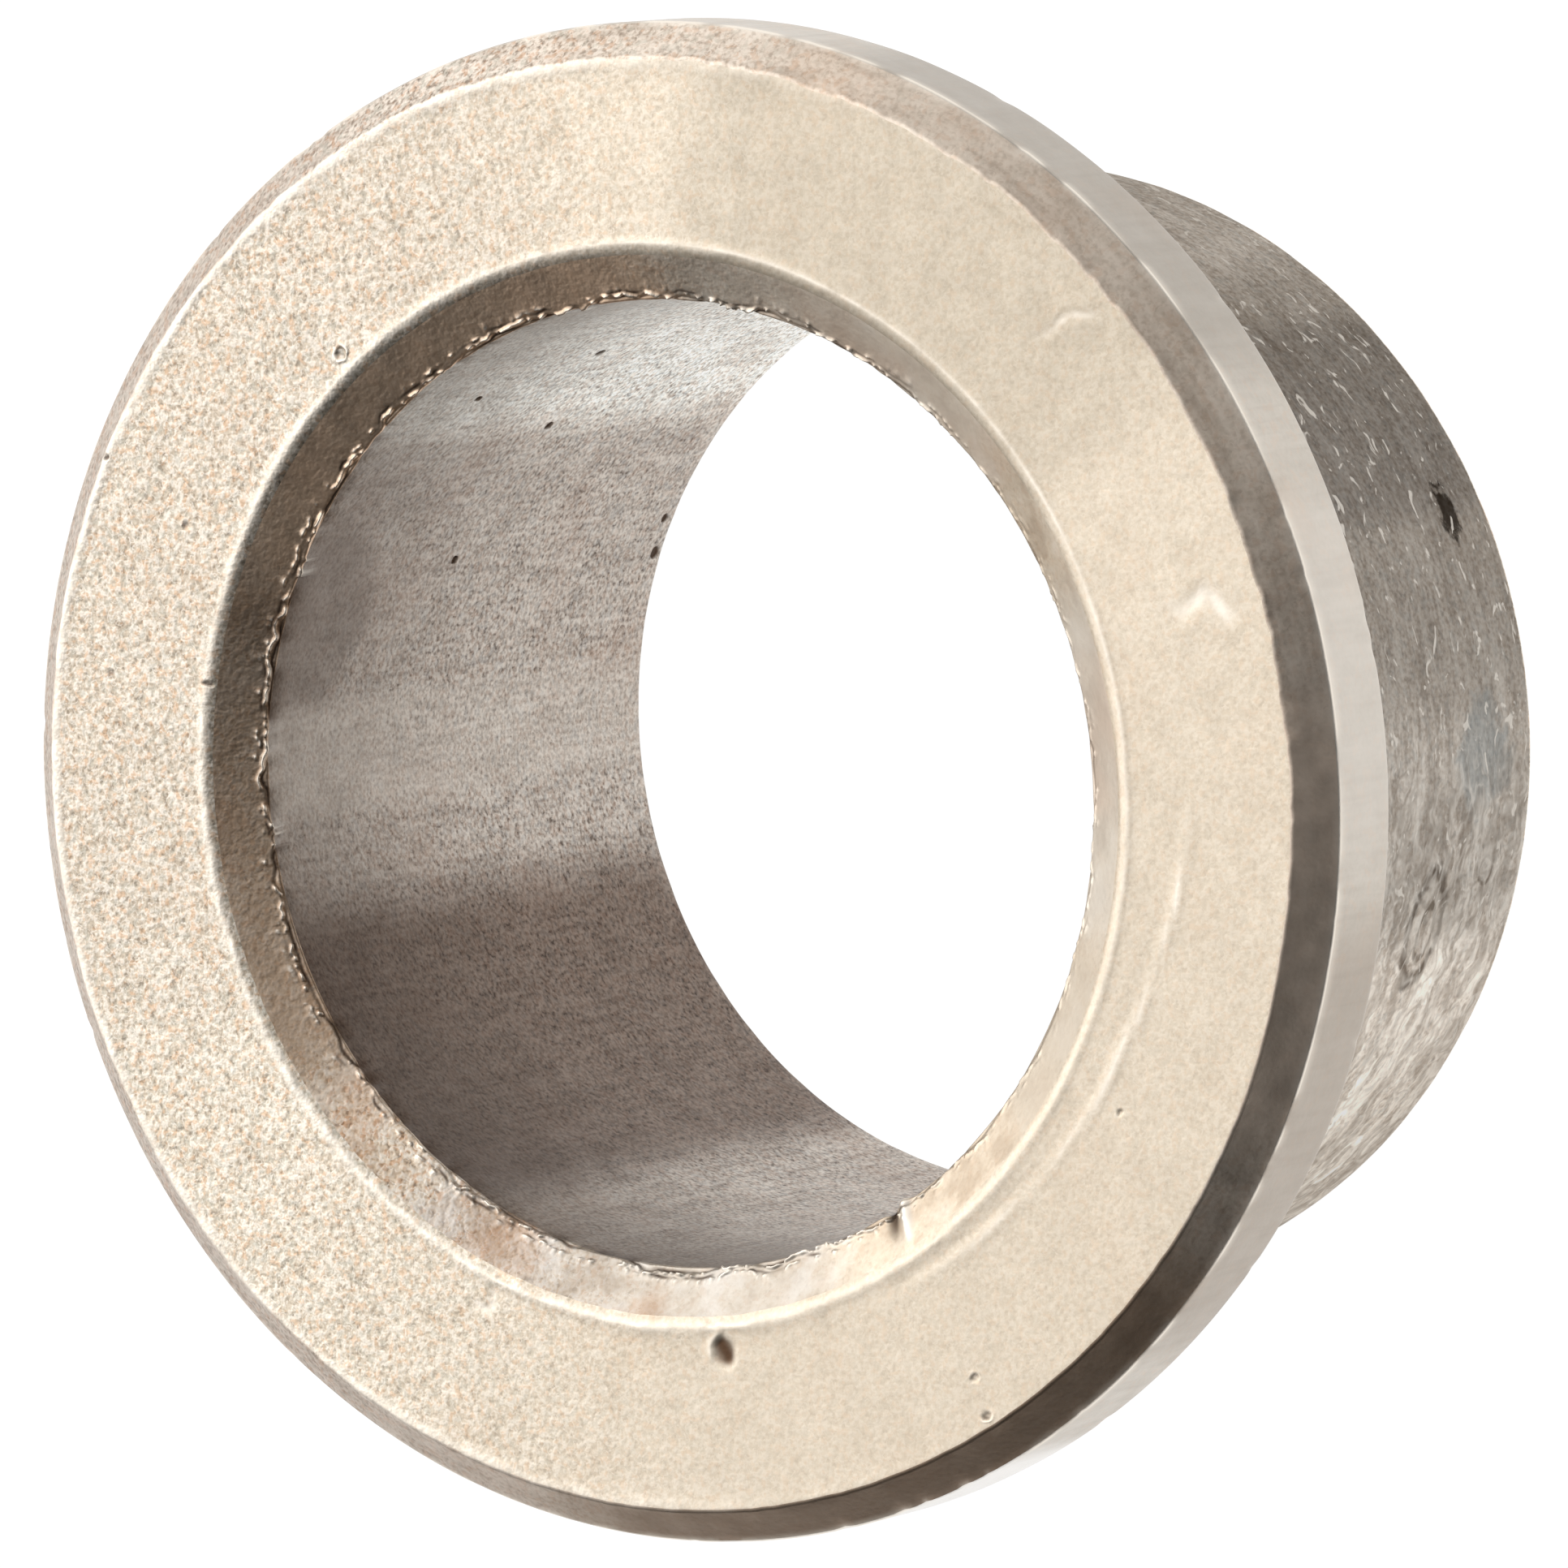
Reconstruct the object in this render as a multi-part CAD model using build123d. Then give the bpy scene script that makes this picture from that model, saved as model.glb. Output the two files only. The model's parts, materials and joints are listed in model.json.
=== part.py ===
"""Flanged sleeve bushing of sintered bronze, one pressed, sintered and sized piece, in millimetres.

The frame: the origin is on the bore axis, in the plane of the flange's seating face, the one that meets
the housing. +Z runs along the bore axis, out of the housing, so the flange lies above z = 0 with its
thrust face on top, and the sleeve hangs below it. The piece is round, so X and Y are free.
"""

from build123d import *
import os

# Driving dimensions: an inch size, so each is a fraction of an inch
BORE_D = 7 / 8 * IN  # running bore for a 7/8 in shaft
SLEEVE_D = (1 + 1 / 16) * IN  # outside of the sleeve, pressed into a 1 1/16 in housing
FLANGE_D = (1 + 3 / 8) * IN
FLANGE_T = 1 / 8 * IN
LENGTH = 11 / 16 * IN  # overall, flange included

# Edge breaks that the press tools leave
FLANGE_CHAMFER = 1 / 32 * IN  # thrust face to rim, 45 degrees
MOUTH_CHAMFER_R = 3 / 64 * IN  # bore mouth in the thrust face: this far across the face
MOUTH_CHAMFER_Z = 1 / 32 * IN  # and this far down into the bore
SLEEVE_LEAD = 0.25  # lead-in around the sleeve's free end, 45 degrees
BORE_LEAD = 0.3  # bore edge at the free end, 45 degrees
RIM_BREAK = 0.15  # rim to seating face, 45 degrees
ROOT_FILLET = 0.3  # inside corner where the sleeve leaves the flange

# Radii and heights worked out from them
BORE_R = BORE_D / 2
SLEEVE_R = SLEEVE_D / 2
FLANGE_R = FLANGE_D / 2
SEAT_Z = 0
THRUST_Z = SEAT_Z + FLANGE_T
END_Z = THRUST_Z - LENGTH

NODE = "flanged_bushing"


def wall_section():
    """The wall's half section in the XZ plane, from the bore mouth outwards and back up the bore."""
    corners = [
        (BORE_R, THRUST_Z - MOUTH_CHAMFER_Z),
        (BORE_R + MOUTH_CHAMFER_R, THRUST_Z),
        (FLANGE_R - FLANGE_CHAMFER, THRUST_Z),
        (FLANGE_R, THRUST_Z - FLANGE_CHAMFER),
        (FLANGE_R, SEAT_Z + RIM_BREAK),
        (FLANGE_R - RIM_BREAK, SEAT_Z),
        (SLEEVE_R, SEAT_Z),
        (SLEEVE_R, END_Z + SLEEVE_LEAD),
        (SLEEVE_R - SLEEVE_LEAD, END_Z),
        (BORE_R + BORE_LEAD, END_Z),
        (BORE_R, END_Z + BORE_LEAD),
    ]
    with BuildSketch(Plane.XZ) as section:
        with BuildLine():
            Polyline(*corners, close=True)
        make_face()
        root = section.vertices().sort_by_distance(Vector(SLEEVE_R, 0, SEAT_Z))[0]
        fillet(root, ROOT_FILLET)
    return section.sketch


def flanged_bushing():
    """The whole bushing: flange and sleeve are one solid, pressed and sintered together."""
    bushing = revolve(wall_section(), Axis.Z)
    bushing.label = NODE
    return bushing


def main():
    """Writes the bushing's STEP file."""
    os.makedirs("parts", exist_ok=True)
    export_step(flanged_bushing(), f"parts/{NODE}.step")


main()
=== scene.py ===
"""Flanged sleeve bushing of sintered bronze, as it leaves the sizing press.

Bronze powder is pressed in a die, sintered and sized, so the whole bushing is one piece. What tells its
stretches apart is how each was touched last: the thrust face and the chamfers keep the grain of the powder,
the core rod has wiped the bore, and the die has wiped the rim and the sleeve. Mesh work is in millimetres
and turns to metres when the mesh is made. A clock angle is in degrees, clockwise from +X as seen when
looking down on the thrust face.
"""

import json
import logging
import math
from dataclasses import dataclass, field
from enum import Enum

import bmesh
import bpy
import numpy as np
from mathutils import Matrix, Vector


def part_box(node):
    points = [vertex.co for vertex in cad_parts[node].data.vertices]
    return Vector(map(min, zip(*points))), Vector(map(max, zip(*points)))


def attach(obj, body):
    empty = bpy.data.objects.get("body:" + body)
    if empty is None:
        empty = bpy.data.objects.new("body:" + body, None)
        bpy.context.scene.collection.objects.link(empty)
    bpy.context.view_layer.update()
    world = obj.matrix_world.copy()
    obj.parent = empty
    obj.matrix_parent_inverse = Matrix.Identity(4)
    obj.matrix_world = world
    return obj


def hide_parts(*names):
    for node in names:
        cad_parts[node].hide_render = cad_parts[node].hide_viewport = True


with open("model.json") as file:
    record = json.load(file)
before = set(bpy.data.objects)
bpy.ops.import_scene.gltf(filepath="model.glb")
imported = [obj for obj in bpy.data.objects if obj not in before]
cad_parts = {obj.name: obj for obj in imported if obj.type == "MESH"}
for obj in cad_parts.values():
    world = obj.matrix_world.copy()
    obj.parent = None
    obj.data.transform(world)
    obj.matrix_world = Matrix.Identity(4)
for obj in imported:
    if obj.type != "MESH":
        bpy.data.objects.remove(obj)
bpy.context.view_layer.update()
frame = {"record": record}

NODE = "flanged_bushing"
BODY = "root"

MM = 0.001
INCH = 25.4
STEPS_AROUND = 720
FACE_FADE = 0.08

# The two values that the marks store at each vertex for the finishes to read: pale paint, for bare metal and
# painted highlights, and dark paint, for oil, dust and painted shade.
BRIGHT = "bright"
DARK = "dark"

# The Mix node's sockets are told apart by number, because its kinds share their names.
FACTOR = 0
COLOUR_UNDER, COLOUR_OVER, COLOUR_MIXED = 6, 7, 2
VALUE_UNDER, VALUE_OVER = 2, 3

# The mean height of the grain's relief, where the punch has burnished the grains level.
LEVEL_GRAIN = 0.9

# The heights, in millimetres, between which painted shade darkens the bore wall towards its mouth.
SHADE_FROM, SHADE_TO = -8.0, 3.0

log = logging.getLogger("bushing")


def clock_point(clock: float, radius: float, height: float) -> np.ndarray:
    """Gives the place of a clock angle, radius and height in the part's frame."""
    turn = math.radians(clock)
    return np.array((radius * math.cos(turn), -radius * math.sin(turn), height))


def smooth(share: np.ndarray) -> np.ndarray:
    """Eases 0 to 1 with level ends, and holds what lies outside at 0 or 1."""
    share = np.clip(share, 0, 1)
    return share * share * (3 - 2 * share)


def hump(distance: np.ndarray, width: float) -> np.ndarray:
    """Gives 1 on a line and falls off round it like a bell, to 0.37 at one width."""
    return np.exp(-((distance / width) ** 2))


def between(low: float, high: float, share: np.ndarray) -> np.ndarray:
    """Runs from low to high as the share runs from 0 to 1."""
    return low + (high - low) * share


def around_from(points: np.ndarray, clock: float) -> np.ndarray:
    """Gives how far each point is around the axis from a clock angle, along its own circle."""
    turn = np.arctan2(-points[:, 1], points[:, 0]) - math.radians(clock)
    return ((turn + math.pi) % math.tau - math.pi) * np.hypot(points[:, 0], points[:, 1])


def ring_noise(turn: np.ndarray, knots: int, seed: int) -> np.ndarray:
    """Makes smooth random values from 0 to 1 that close on themselves around the ring.

    Args:
        turn: places around the ring, 1 for a whole turn.
        knots: how many random values the ring holds.
        seed: picks the values.

    Returns:
        One value for each place.
    """
    values = np.random.default_rng(seed).random(knots)
    place = (turn % 1) * knots
    low = np.floor(place).astype(int)
    share = smooth(place - low)
    return values[low % knots] * (1 - share) + values[(low + 1) % knots] * share


class Zone(Enum):
    """The stretches of the skin, numbered as the mesh's material slots."""

    MOUTH_CHAMFER = 0
    THRUST_FACE = 1
    FLANGE_CHAMFER = 2
    RIM = 3
    SEAT = 4
    SLEEVE = 5
    SLEEVE_END = 6
    BORE = 7


@dataclass(frozen=True)
class Corner:
    """A corner of the wall's half section, and the stretch of skin that starts there.

    Attributes:
        radius: its distance from the bore axis.
        height: its height.
        set_back: how far back from it the rounding starts, or 0 for none.
        zone: zone of the skin from here to the next corner.
        rings: how many of the mesh's rings lie along that stretch.
    """

    radius: float
    height: float
    set_back: float
    zone: Zone
    rings: int

    def place(self) -> np.ndarray:
        """Gives the corner as radius and height."""
        return np.array((self.radius, self.height))


@dataclass(frozen=True)
class WallSection:
    """The bushing's half section, in millimetres: the main sizes come from the frame.

    Attributes:
        bore_r: radius of the bore.
        sleeve_r: radius of the sleeve's outside.
        flange_r: radius of the flange.
        thrust_z: height of the thrust face, where the flange's seat is at 0.
        end_z: height of the sleeve's end.
        flange_chamfer: both sides of the chamfer around the flange.
        mouth_chamfer_r: how far the mouth chamfer reaches outwards.
        mouth_chamfer_z: how deep it is.
        rim_break: both sides of the small chamfer under the rim.
        root_fillet: how far from the corner under the flange its fillet starts.
        sleeve_lead: both sides of the chamfer outside the sleeve's end.
        bore_lead: both sides of the chamfer inside it.
        edge_round: how far from a crisp corner its rounding starts.
        soft_round: the same at the rim's lower corner.
        mouth_round: the same where the mouth chamfer meets the thrust face.
        burr_strip: width of the mouth chamfer's strip with closer rings, beside the bore.
        roll_strip: width of the thrust face's strip with closer rings, beside the mouth chamfer.
        lip_strip: the same beside the flange's chamfer.
        arc_steps: how many rings round off a corner.
    """

    bore_r: float
    sleeve_r: float
    flange_r: float
    thrust_z: float
    end_z: float
    flange_chamfer: float = INCH / 32
    mouth_chamfer_r: float = 3 * INCH / 64
    mouth_chamfer_z: float = INCH / 32
    rim_break: float = 0.15
    root_fillet: float = 0.3
    sleeve_lead: float = 0.25
    bore_lead: float = 0.3
    edge_round: float = 0.06
    soft_round: float = 0.12
    mouth_round: float = 0.16
    burr_strip: float = 0.3
    roll_strip: float = 0.6
    lip_strip: float = 0.3
    arc_steps: int = 4

    @classmethod
    def from_frame(cls) -> "WallSection":
        """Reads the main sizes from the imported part's box and round mounts.

        Returns:
            The section.
        """
        low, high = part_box(NODE)
        radii = {m["name"]: m["dims"].get("r_mm") for m in frame["record"]["mounts"]}
        return cls(radii["bore"], radii["sleeve_od"], high.x / MM, high.z / MM, low.z / MM)

    @property
    def mouth_corner(self) -> np.ndarray:
        """Where the mouth chamfer meets the bore, as radius and height."""
        return np.array((self.bore_r, self.thrust_z - self.mouth_chamfer_z))

    @property
    def mouth_slope(self) -> np.ndarray:
        """The direction up the mouth chamfer, as radius and height."""
        slope = np.array((self.mouth_chamfer_r, self.mouth_chamfer_z))
        return slope / np.linalg.norm(slope)

    @property
    def mouth_edge_r(self) -> float:
        """Radius of the mouth chamfer's edge in the thrust face."""
        return self.bore_r + self.mouth_chamfer_r

    @property
    def face_edge_r(self) -> float:
        """Radius at which the thrust face ends in the flange's chamfer."""
        return self.flange_r - self.flange_chamfer

    def corners(self) -> list[Corner]:
        """Lists the section's corners from the bore mouth outwards, down the outside and up the bore.

        Returns:
            The corners in order around the section.
        """
        top, end, seat = self.thrust_z, self.end_z, 0.0
        strip = self.mouth_corner + self.mouth_slope * self.burr_strip
        return [
            Corner(*self.mouth_corner, self.edge_round, Zone.MOUTH_CHAMFER, 6),
            Corner(*strip, 0, Zone.MOUTH_CHAMFER, 6),
            Corner(self.mouth_edge_r, top, self.mouth_round, Zone.THRUST_FACE, 5),
            Corner(self.mouth_edge_r + self.roll_strip, top, 0, Zone.THRUST_FACE, 22),
            Corner(self.face_edge_r - self.lip_strip, top, 0, Zone.THRUST_FACE, 5),
            Corner(self.face_edge_r, top, self.edge_round, Zone.FLANGE_CHAMFER, 5),
            Corner(self.flange_r, top - self.flange_chamfer, self.edge_round, Zone.RIM, 6),
            Corner(self.flange_r, seat + self.rim_break, self.soft_round, Zone.RIM, 1),
            Corner(self.flange_r - self.rim_break, seat, self.edge_round, Zone.SEAT, 5),
            Corner(self.sleeve_r, seat, self.root_fillet, Zone.SLEEVE, 12),
            Corner(self.sleeve_r, end + self.sleeve_lead, self.edge_round, Zone.SLEEVE_END, 1),
            Corner(self.sleeve_r - self.sleeve_lead, end, self.edge_round, Zone.SLEEVE_END, 4),
            Corner(self.bore_r + self.bore_lead, end, self.edge_round, Zone.SLEEVE_END, 1),
            Corner(self.bore_r, end + self.bore_lead, self.edge_round, Zone.BORE, 22),
        ]

    def rings(self) -> list[tuple[float, float, Zone]]:
        """Samples the section, with each corner rounded.

        Returns:
            Radius, height and zone of each ring; the zone is that of the skin from this ring to the next.
        """
        corners = self.corners()
        places = [corner.place() for corner in corners]
        rings = []
        for i, corner in enumerate(corners):
            here, ahead = places[i], places[(i + 1) % len(corners)]
            back = places[i - 1] - here
            back = back / np.linalg.norm(back)
            along = (ahead - here) / np.linalg.norm(ahead - here)
            start = here + along * corner.set_back
            stop = ahead - along * corners[(i + 1) % len(corners)].set_back
            if corner.set_back:
                before = here + back * corner.set_back
                for s in np.arange(self.arc_steps) / self.arc_steps:
                    curve = (1 - s) ** 2 * before + 2 * s * (1 - s) * here + s * s * start
                    rings.append((*curve, corner.zone))
            for s in np.arange(corner.rings) / corner.rings:
                rings.append((*(start + (stop - start) * s), corner.zone))
        return rings


@dataclass
class Skin:
    """The bushing's surface while marks are pressed into it, in millimetres.

    Attributes:
        section: the half section it was turned from.
        points: where each vertex is before any mark.
        normals: the way each vertex faces.
        shift: how far the marks move each vertex.
        bright: how pale each vertex is painted, 0 to 1: bare metal, and painted highlights on raised lines
            and the flake.
        dark: how dark each vertex is painted, 0 to 1: oil and dust, and painted shade and painted shadows in
            creases, pits and hollows.
    """

    section: WallSection
    points: np.ndarray
    normals: np.ndarray
    shift: np.ndarray = field(init=False)
    bright: np.ndarray = field(init=False)
    dark: np.ndarray = field(init=False)

    def __post_init__(self) -> None:
        """Starts with no marks at all."""
        self.shift = np.zeros_like(self.points)
        self.bright = np.zeros(len(self.points))
        self.dark = np.zeros(len(self.points))

    @property
    def radius(self) -> np.ndarray:
        """Distance of each vertex from the bore axis."""
        return np.hypot(self.points[:, 0], self.points[:, 1])

    @property
    def height(self) -> np.ndarray:
        """Height of each vertex."""
        return self.points[:, 2]

    @property
    def turn(self) -> np.ndarray:
        """Clock angle of each vertex, 1 for a whole turn."""
        return (np.arctan2(-self.points[:, 1], self.points[:, 0]) / math.tau) % 1

    @property
    def on_face(self) -> np.ndarray:
        """1 on the thrust face, falling to 0 a little below it."""
        return smooth(1 + (self.height - self.section.thrust_z) / FACE_FADE)

    def noise(self, knots: int, seed: int) -> np.ndarray:
        """Gives each vertex its value of a random ring."""
        return ring_noise(self.turn, knots, seed)

    def facing(self, clock: float) -> np.ndarray:
        """Gives the cosine of the angle between each vertex and a clock angle."""
        return np.cos((self.turn - clock / 360) * math.tau)

    def near(self, radius: float, height: float, reach: float) -> np.ndarray:
        """Gives 1 along a corner of the section and falls off within reach of it."""
        return hump(np.hypot(self.radius - radius, self.height - height), reach)

    def lift(self, amount: np.ndarray) -> None:
        """Raises the surface along its own normal, or sinks it where the amount is negative."""
        self.shift += self.normals * amount[:, None]

    def paint(self, bright: np.ndarray | float = 0.0, dark: np.ndarray | float = 0.0) -> None:
        """Adds pale paint, for bare metal and painted highlights, or dark paint, for oil, dust and painted
        shade, as much as the larger of what is there and what is given.
        """
        self.bright = np.maximum(self.bright, np.clip(bright, 0, 1))
        self.dark = np.maximum(self.dark, np.clip(dark, 0, 1))


class Mark:
    """Something that the press, the tray or a knock has left on the skin."""

    halvings: int = 0

    def covers(self, points: np.ndarray, section: WallSection, step: int) -> np.ndarray:
        """Tells which faces to halve at this step.

        Args:
            points: the middles of the faces.
            section: the half section of the bushing; not used here.
            step: how often the faces were halved before; not used here.

        Returns:
            True for each face under the mark. A plain mark needs none.
        """
        return np.zeros(len(points), bool)

    def press(self, skin: Skin) -> None:
        """Moves and paints the skin's vertices."""
        raise NotImplementedError


@dataclass(frozen=True)
class RolledLip(Mark):
    """A raised line that the punch squeezes up along an edge of the thrust face.

    Attributes:
        radius: radius of the line.
        width: half its width.
        height: its height where it is boldest.
        boldest_clock: clock angle where it is boldest.
        faintest: its strength on the other side, 0 to 1.
        knots: how many times it wavers around the ring.
        seed: picks its random values.
        shine: how pale it is painted, as bare metal and as a painted highlight.
        evenness: the least share of its height that chance leaves it.
    """

    radius: float
    width: float
    height: float
    boldest_clock: float
    faintest: float
    knots: int
    seed: int
    shine: float = 0.9
    evenness: float = 0.35

    def press(self, skin: Skin) -> None:
        """Raises the line unevenly, most at its boldest clock angle, and paints it pale as bare metal and a
        painted highlight.

        Args:
            skin: the surface to mark.
        """
        strength = between(self.faintest, 1, smooth(0.5 + 0.6 * skin.facing(self.boldest_clock)))
        wander = 0.5 * self.width * (skin.noise(self.knots, self.seed) - 0.5)
        uneven = between(self.evenness, 1, skin.noise(2 * self.knots, self.seed + 1))
        wide = self.width * between(0.7, 1.3, skin.noise(self.knots // 3, self.seed + 2))
        line = hump((skin.radius - self.radius - wander) / wide, 1) * skin.on_face * strength
        skin.lift(self.height * line * uneven)
        # Painted highlight along the raised line, with its bare metal.
        skin.paint(bright=self.shine * line * between(self.evenness, 1, uneven))


@dataclass(frozen=True)
class RaggedEdge(Mark):
    """Small irregular swings of an edge where the die and the punch met.

    Attributes:
        radius: radius of the edge.
        height: height of the edge.
        swing: the most that it strays in or out.
        boldest_clock: clock angle where it strays most.
        seed: picks its random values.
        reach: how far from the edge the swings fade out.
        slow_knots: how many long swings go around the ring.
        quick_knots: how many short swings go around the ring.
        faintest: their strength on the other side, 0 to 1.
    """

    radius: float
    height: float
    swing: float
    boldest_clock: float
    seed: int
    reach: float = 0.15
    slow_knots: int = 60
    quick_knots: int = 350
    faintest: float = 0.25

    def press(self, skin: Skin) -> None:
        """Shifts the edge in and out, most at its boldest clock angle.

        Args:
            skin: the surface to mark.
        """
        near = skin.near(self.radius, self.height, self.reach)
        noise = skin.noise(self.slow_knots, self.seed) + skin.noise(self.quick_knots, self.seed + 1) - 1
        strength = between(self.faintest, 1, smooth(skin.facing(self.boldest_clock)))
        amount = self.swing * noise * near * strength
        outward = skin.points[:, :2] / skin.radius[:, None]
        skin.shift[:, :2] += outward * amount[:, None]


@dataclass(frozen=True)
class PunchStep(Mark):
    """A second, off-centre edge that a shifted punch has left in the thrust face as a low step.

    Attributes:
        centre_clock: clock angle towards which the punch was shifted.
        off_centre: how far it was shifted.
        radius: radius of the punch's edge.
        from_clock: clock angle at which the step starts.
        to_clock: clock angle at which it ends.
        fade: how many degrees it takes to fade in and out.
        width: half the width of the raised line.
        height: height of the raised line.
        sunk_beside: how far inside the line the sunk one lies.
        sunk_width: half the sunk line's width.
        evenness: the least share of its height that chance leaves it.
        seed: picks its random values.
    """

    centre_clock: float = 339.5
    off_centre: float = 1.92
    radius: float = 14.88
    from_clock: float = 86.0
    to_clock: float = 158.0
    fade: float = 16.0
    width: float = 0.09
    height: float = 0.026
    sunk_beside: float = 0.2
    sunk_width: float = 0.12
    evenness: float = 0.35
    seed: int = 31

    def press(self, skin: Skin) -> None:
        """Raises the step's line between its two ends and sinks its inner side; paints the line pale, as bare
        metal and a painted highlight, and the sunk side a little dark, as painted shade.

        Args:
            skin: the surface to mark.
        """
        centre = clock_point(self.centre_clock, self.off_centre, 0)
        distance = np.hypot(*(skin.points[:, :2] - centre[:2]).T) - self.radius
        distance = distance + self.width * (skin.noise(75, self.seed + 2) - 0.5)
        clock = skin.turn * 360
        inside = smooth((clock - self.from_clock) / self.fade) * smooth((self.to_clock - clock) / self.fade)
        uneven = between(self.evenness, 1, skin.noise(90, self.seed))
        line = hump(distance, self.width) * inside * skin.on_face
        sunk = hump(distance + self.sunk_beside, self.sunk_width) * inside * skin.on_face
        skin.lift(self.height * (line * uneven - 0.25 * sunk))
        # Painted highlight on the raised line, and painted shade along the sunk line inside it.
        skin.paint(bright=0.75 * line * uneven, dark=0.08 * sunk)


@dataclass(frozen=True)
class BurrLine(Mark):
    """The torn edge that the core rod leaves where the mouth chamfer meets the bore.

    Attributes:
        reach: how far up the chamfer the first row of beads stands.
        second_row: how much further up the second row stands.
        second_size: height of the second row beside the first's.
        width: half the width of a row.
        height: height of the boldest beads.
        thickness: how far off the chamfer's slope the marks fade out.
        crease_depth: depth of the crease under the first row.
        crease_width: half the crease's width.
        shadow_width: half the width of the painted shadow line above the first row.
        darkening: how dark both are painted, as painted shade in the crease and as the painted shadow line.
        long_clock: clock angle of the long bold stretch.
        short_clock: clock angle of the short bold stretch.
        faintest: strength away from both, 0 to 1.
        strip: half the width of the strip with the finer mesh.
        strip_depth: how far off the slope that strip goes.
        seed: picks its random values.
        halvings: how often the faces under it are halved.
    """

    reach: float = 0.1
    second_row: float = 0.17
    second_size: float = 0.6
    width: float = 0.04
    height: float = 0.11
    thickness: float = 0.14
    crease_depth: float = 0.03
    crease_width: float = 0.055
    shadow_width: float = 0.05
    darkening: float = 0.8
    long_clock: float = 288.0
    short_clock: float = 176.0
    faintest: float = 0.25
    strip: float = 0.45
    strip_depth: float = 0.12
    seed: int = 41
    halvings: int = 1

    def place(
        self, radius: np.ndarray, height: np.ndarray, section: WallSection
    ) -> tuple[np.ndarray, np.ndarray]:
        """Measures from the corner, up the chamfer and out of it.

        Args:
            radius: distances from the bore axis.
            height: heights in the part's frame.
            section: the half section of the bushing.

        Returns:
            The distance up the chamfer, and the distance out of it.
        """
        up, corner = section.mouth_slope, section.mouth_corner
        dr, dz = radius - corner[0], height - corner[1]
        return dr * up[0] + dz * up[1], -dr * up[1] + dz * up[0]

    def covers(self, points: np.ndarray, section: WallSection, step: int) -> np.ndarray:
        """Covers a narrow band on both sides of the corner."""
        along, out = self.place(np.hypot(points[:, 0], points[:, 1]), points[:, 2], section)
        return (np.abs(along) < self.strip) & (np.abs(out) < self.strip_depth)

    def press(self, skin: Skin) -> None:
        """Curls up ragged beads beside the corner, with a crease on the bore's side of them painted dark as
        shade, and a painted shadow line above them.

        Args:
            skin: the surface to mark.
        """
        along, out = self.place(skin.radius, skin.height, skin.section)
        long_side = 0.8 + 1.2 * skin.facing(self.long_clock)
        short_side = 3.6 * skin.facing(self.short_clock) - 2.6
        bold = between(self.faintest, 1, smooth(np.maximum(long_side, short_side)))
        close = hump(out, self.thickness)
        wander = 0.2 * (skin.noise(64, self.seed) - 0.5) + 0.13 * (skin.noise(230, self.seed + 2) - 0.5)
        rows = ((self.reach, 1.0, 420), (self.reach + self.second_row, self.second_size, 520))
        for offset, scale, seed in rows:
            shift = offset + wander + 0.12 * (skin.noise(470, seed + 2) - 0.5)
            beads = 0.5 * skin.noise(520, seed) + 0.5 * skin.noise(900, seed + 3)
            left = 0.25 * skin.noise(90, seed + 1) + 0.75 * beads
            torn = smooth((left - 0.64 + 0.17 * scale) / 0.12)
            ridge = hump(along - shift, self.width) * close * torn * bold
            skin.lift(self.height * scale * ridge * between(0.3, 1, beads))
            skin.paint(bright=ridge * between(0.55, 1, beads))
        low, high = along - self.reach - wander + 0.1, along - self.reach - wander - 0.09
        crease = hump(low, self.crease_width) * close * between(0.35, 1, bold)
        shadow = hump(high, self.shadow_width) * close * bold
        skin.lift(-self.crease_depth * crease)
        # Painted shade in the crease, and a painted shadow line above the beads.
        skin.paint(dark=self.darkening * crease * smooth(1.5 * skin.noise(120, self.seed + 3) - 0.1))
        skin.paint(dark=self.darkening * shadow * smooth(2.2 * skin.noise(170, self.seed + 4) - 0.9))


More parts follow.
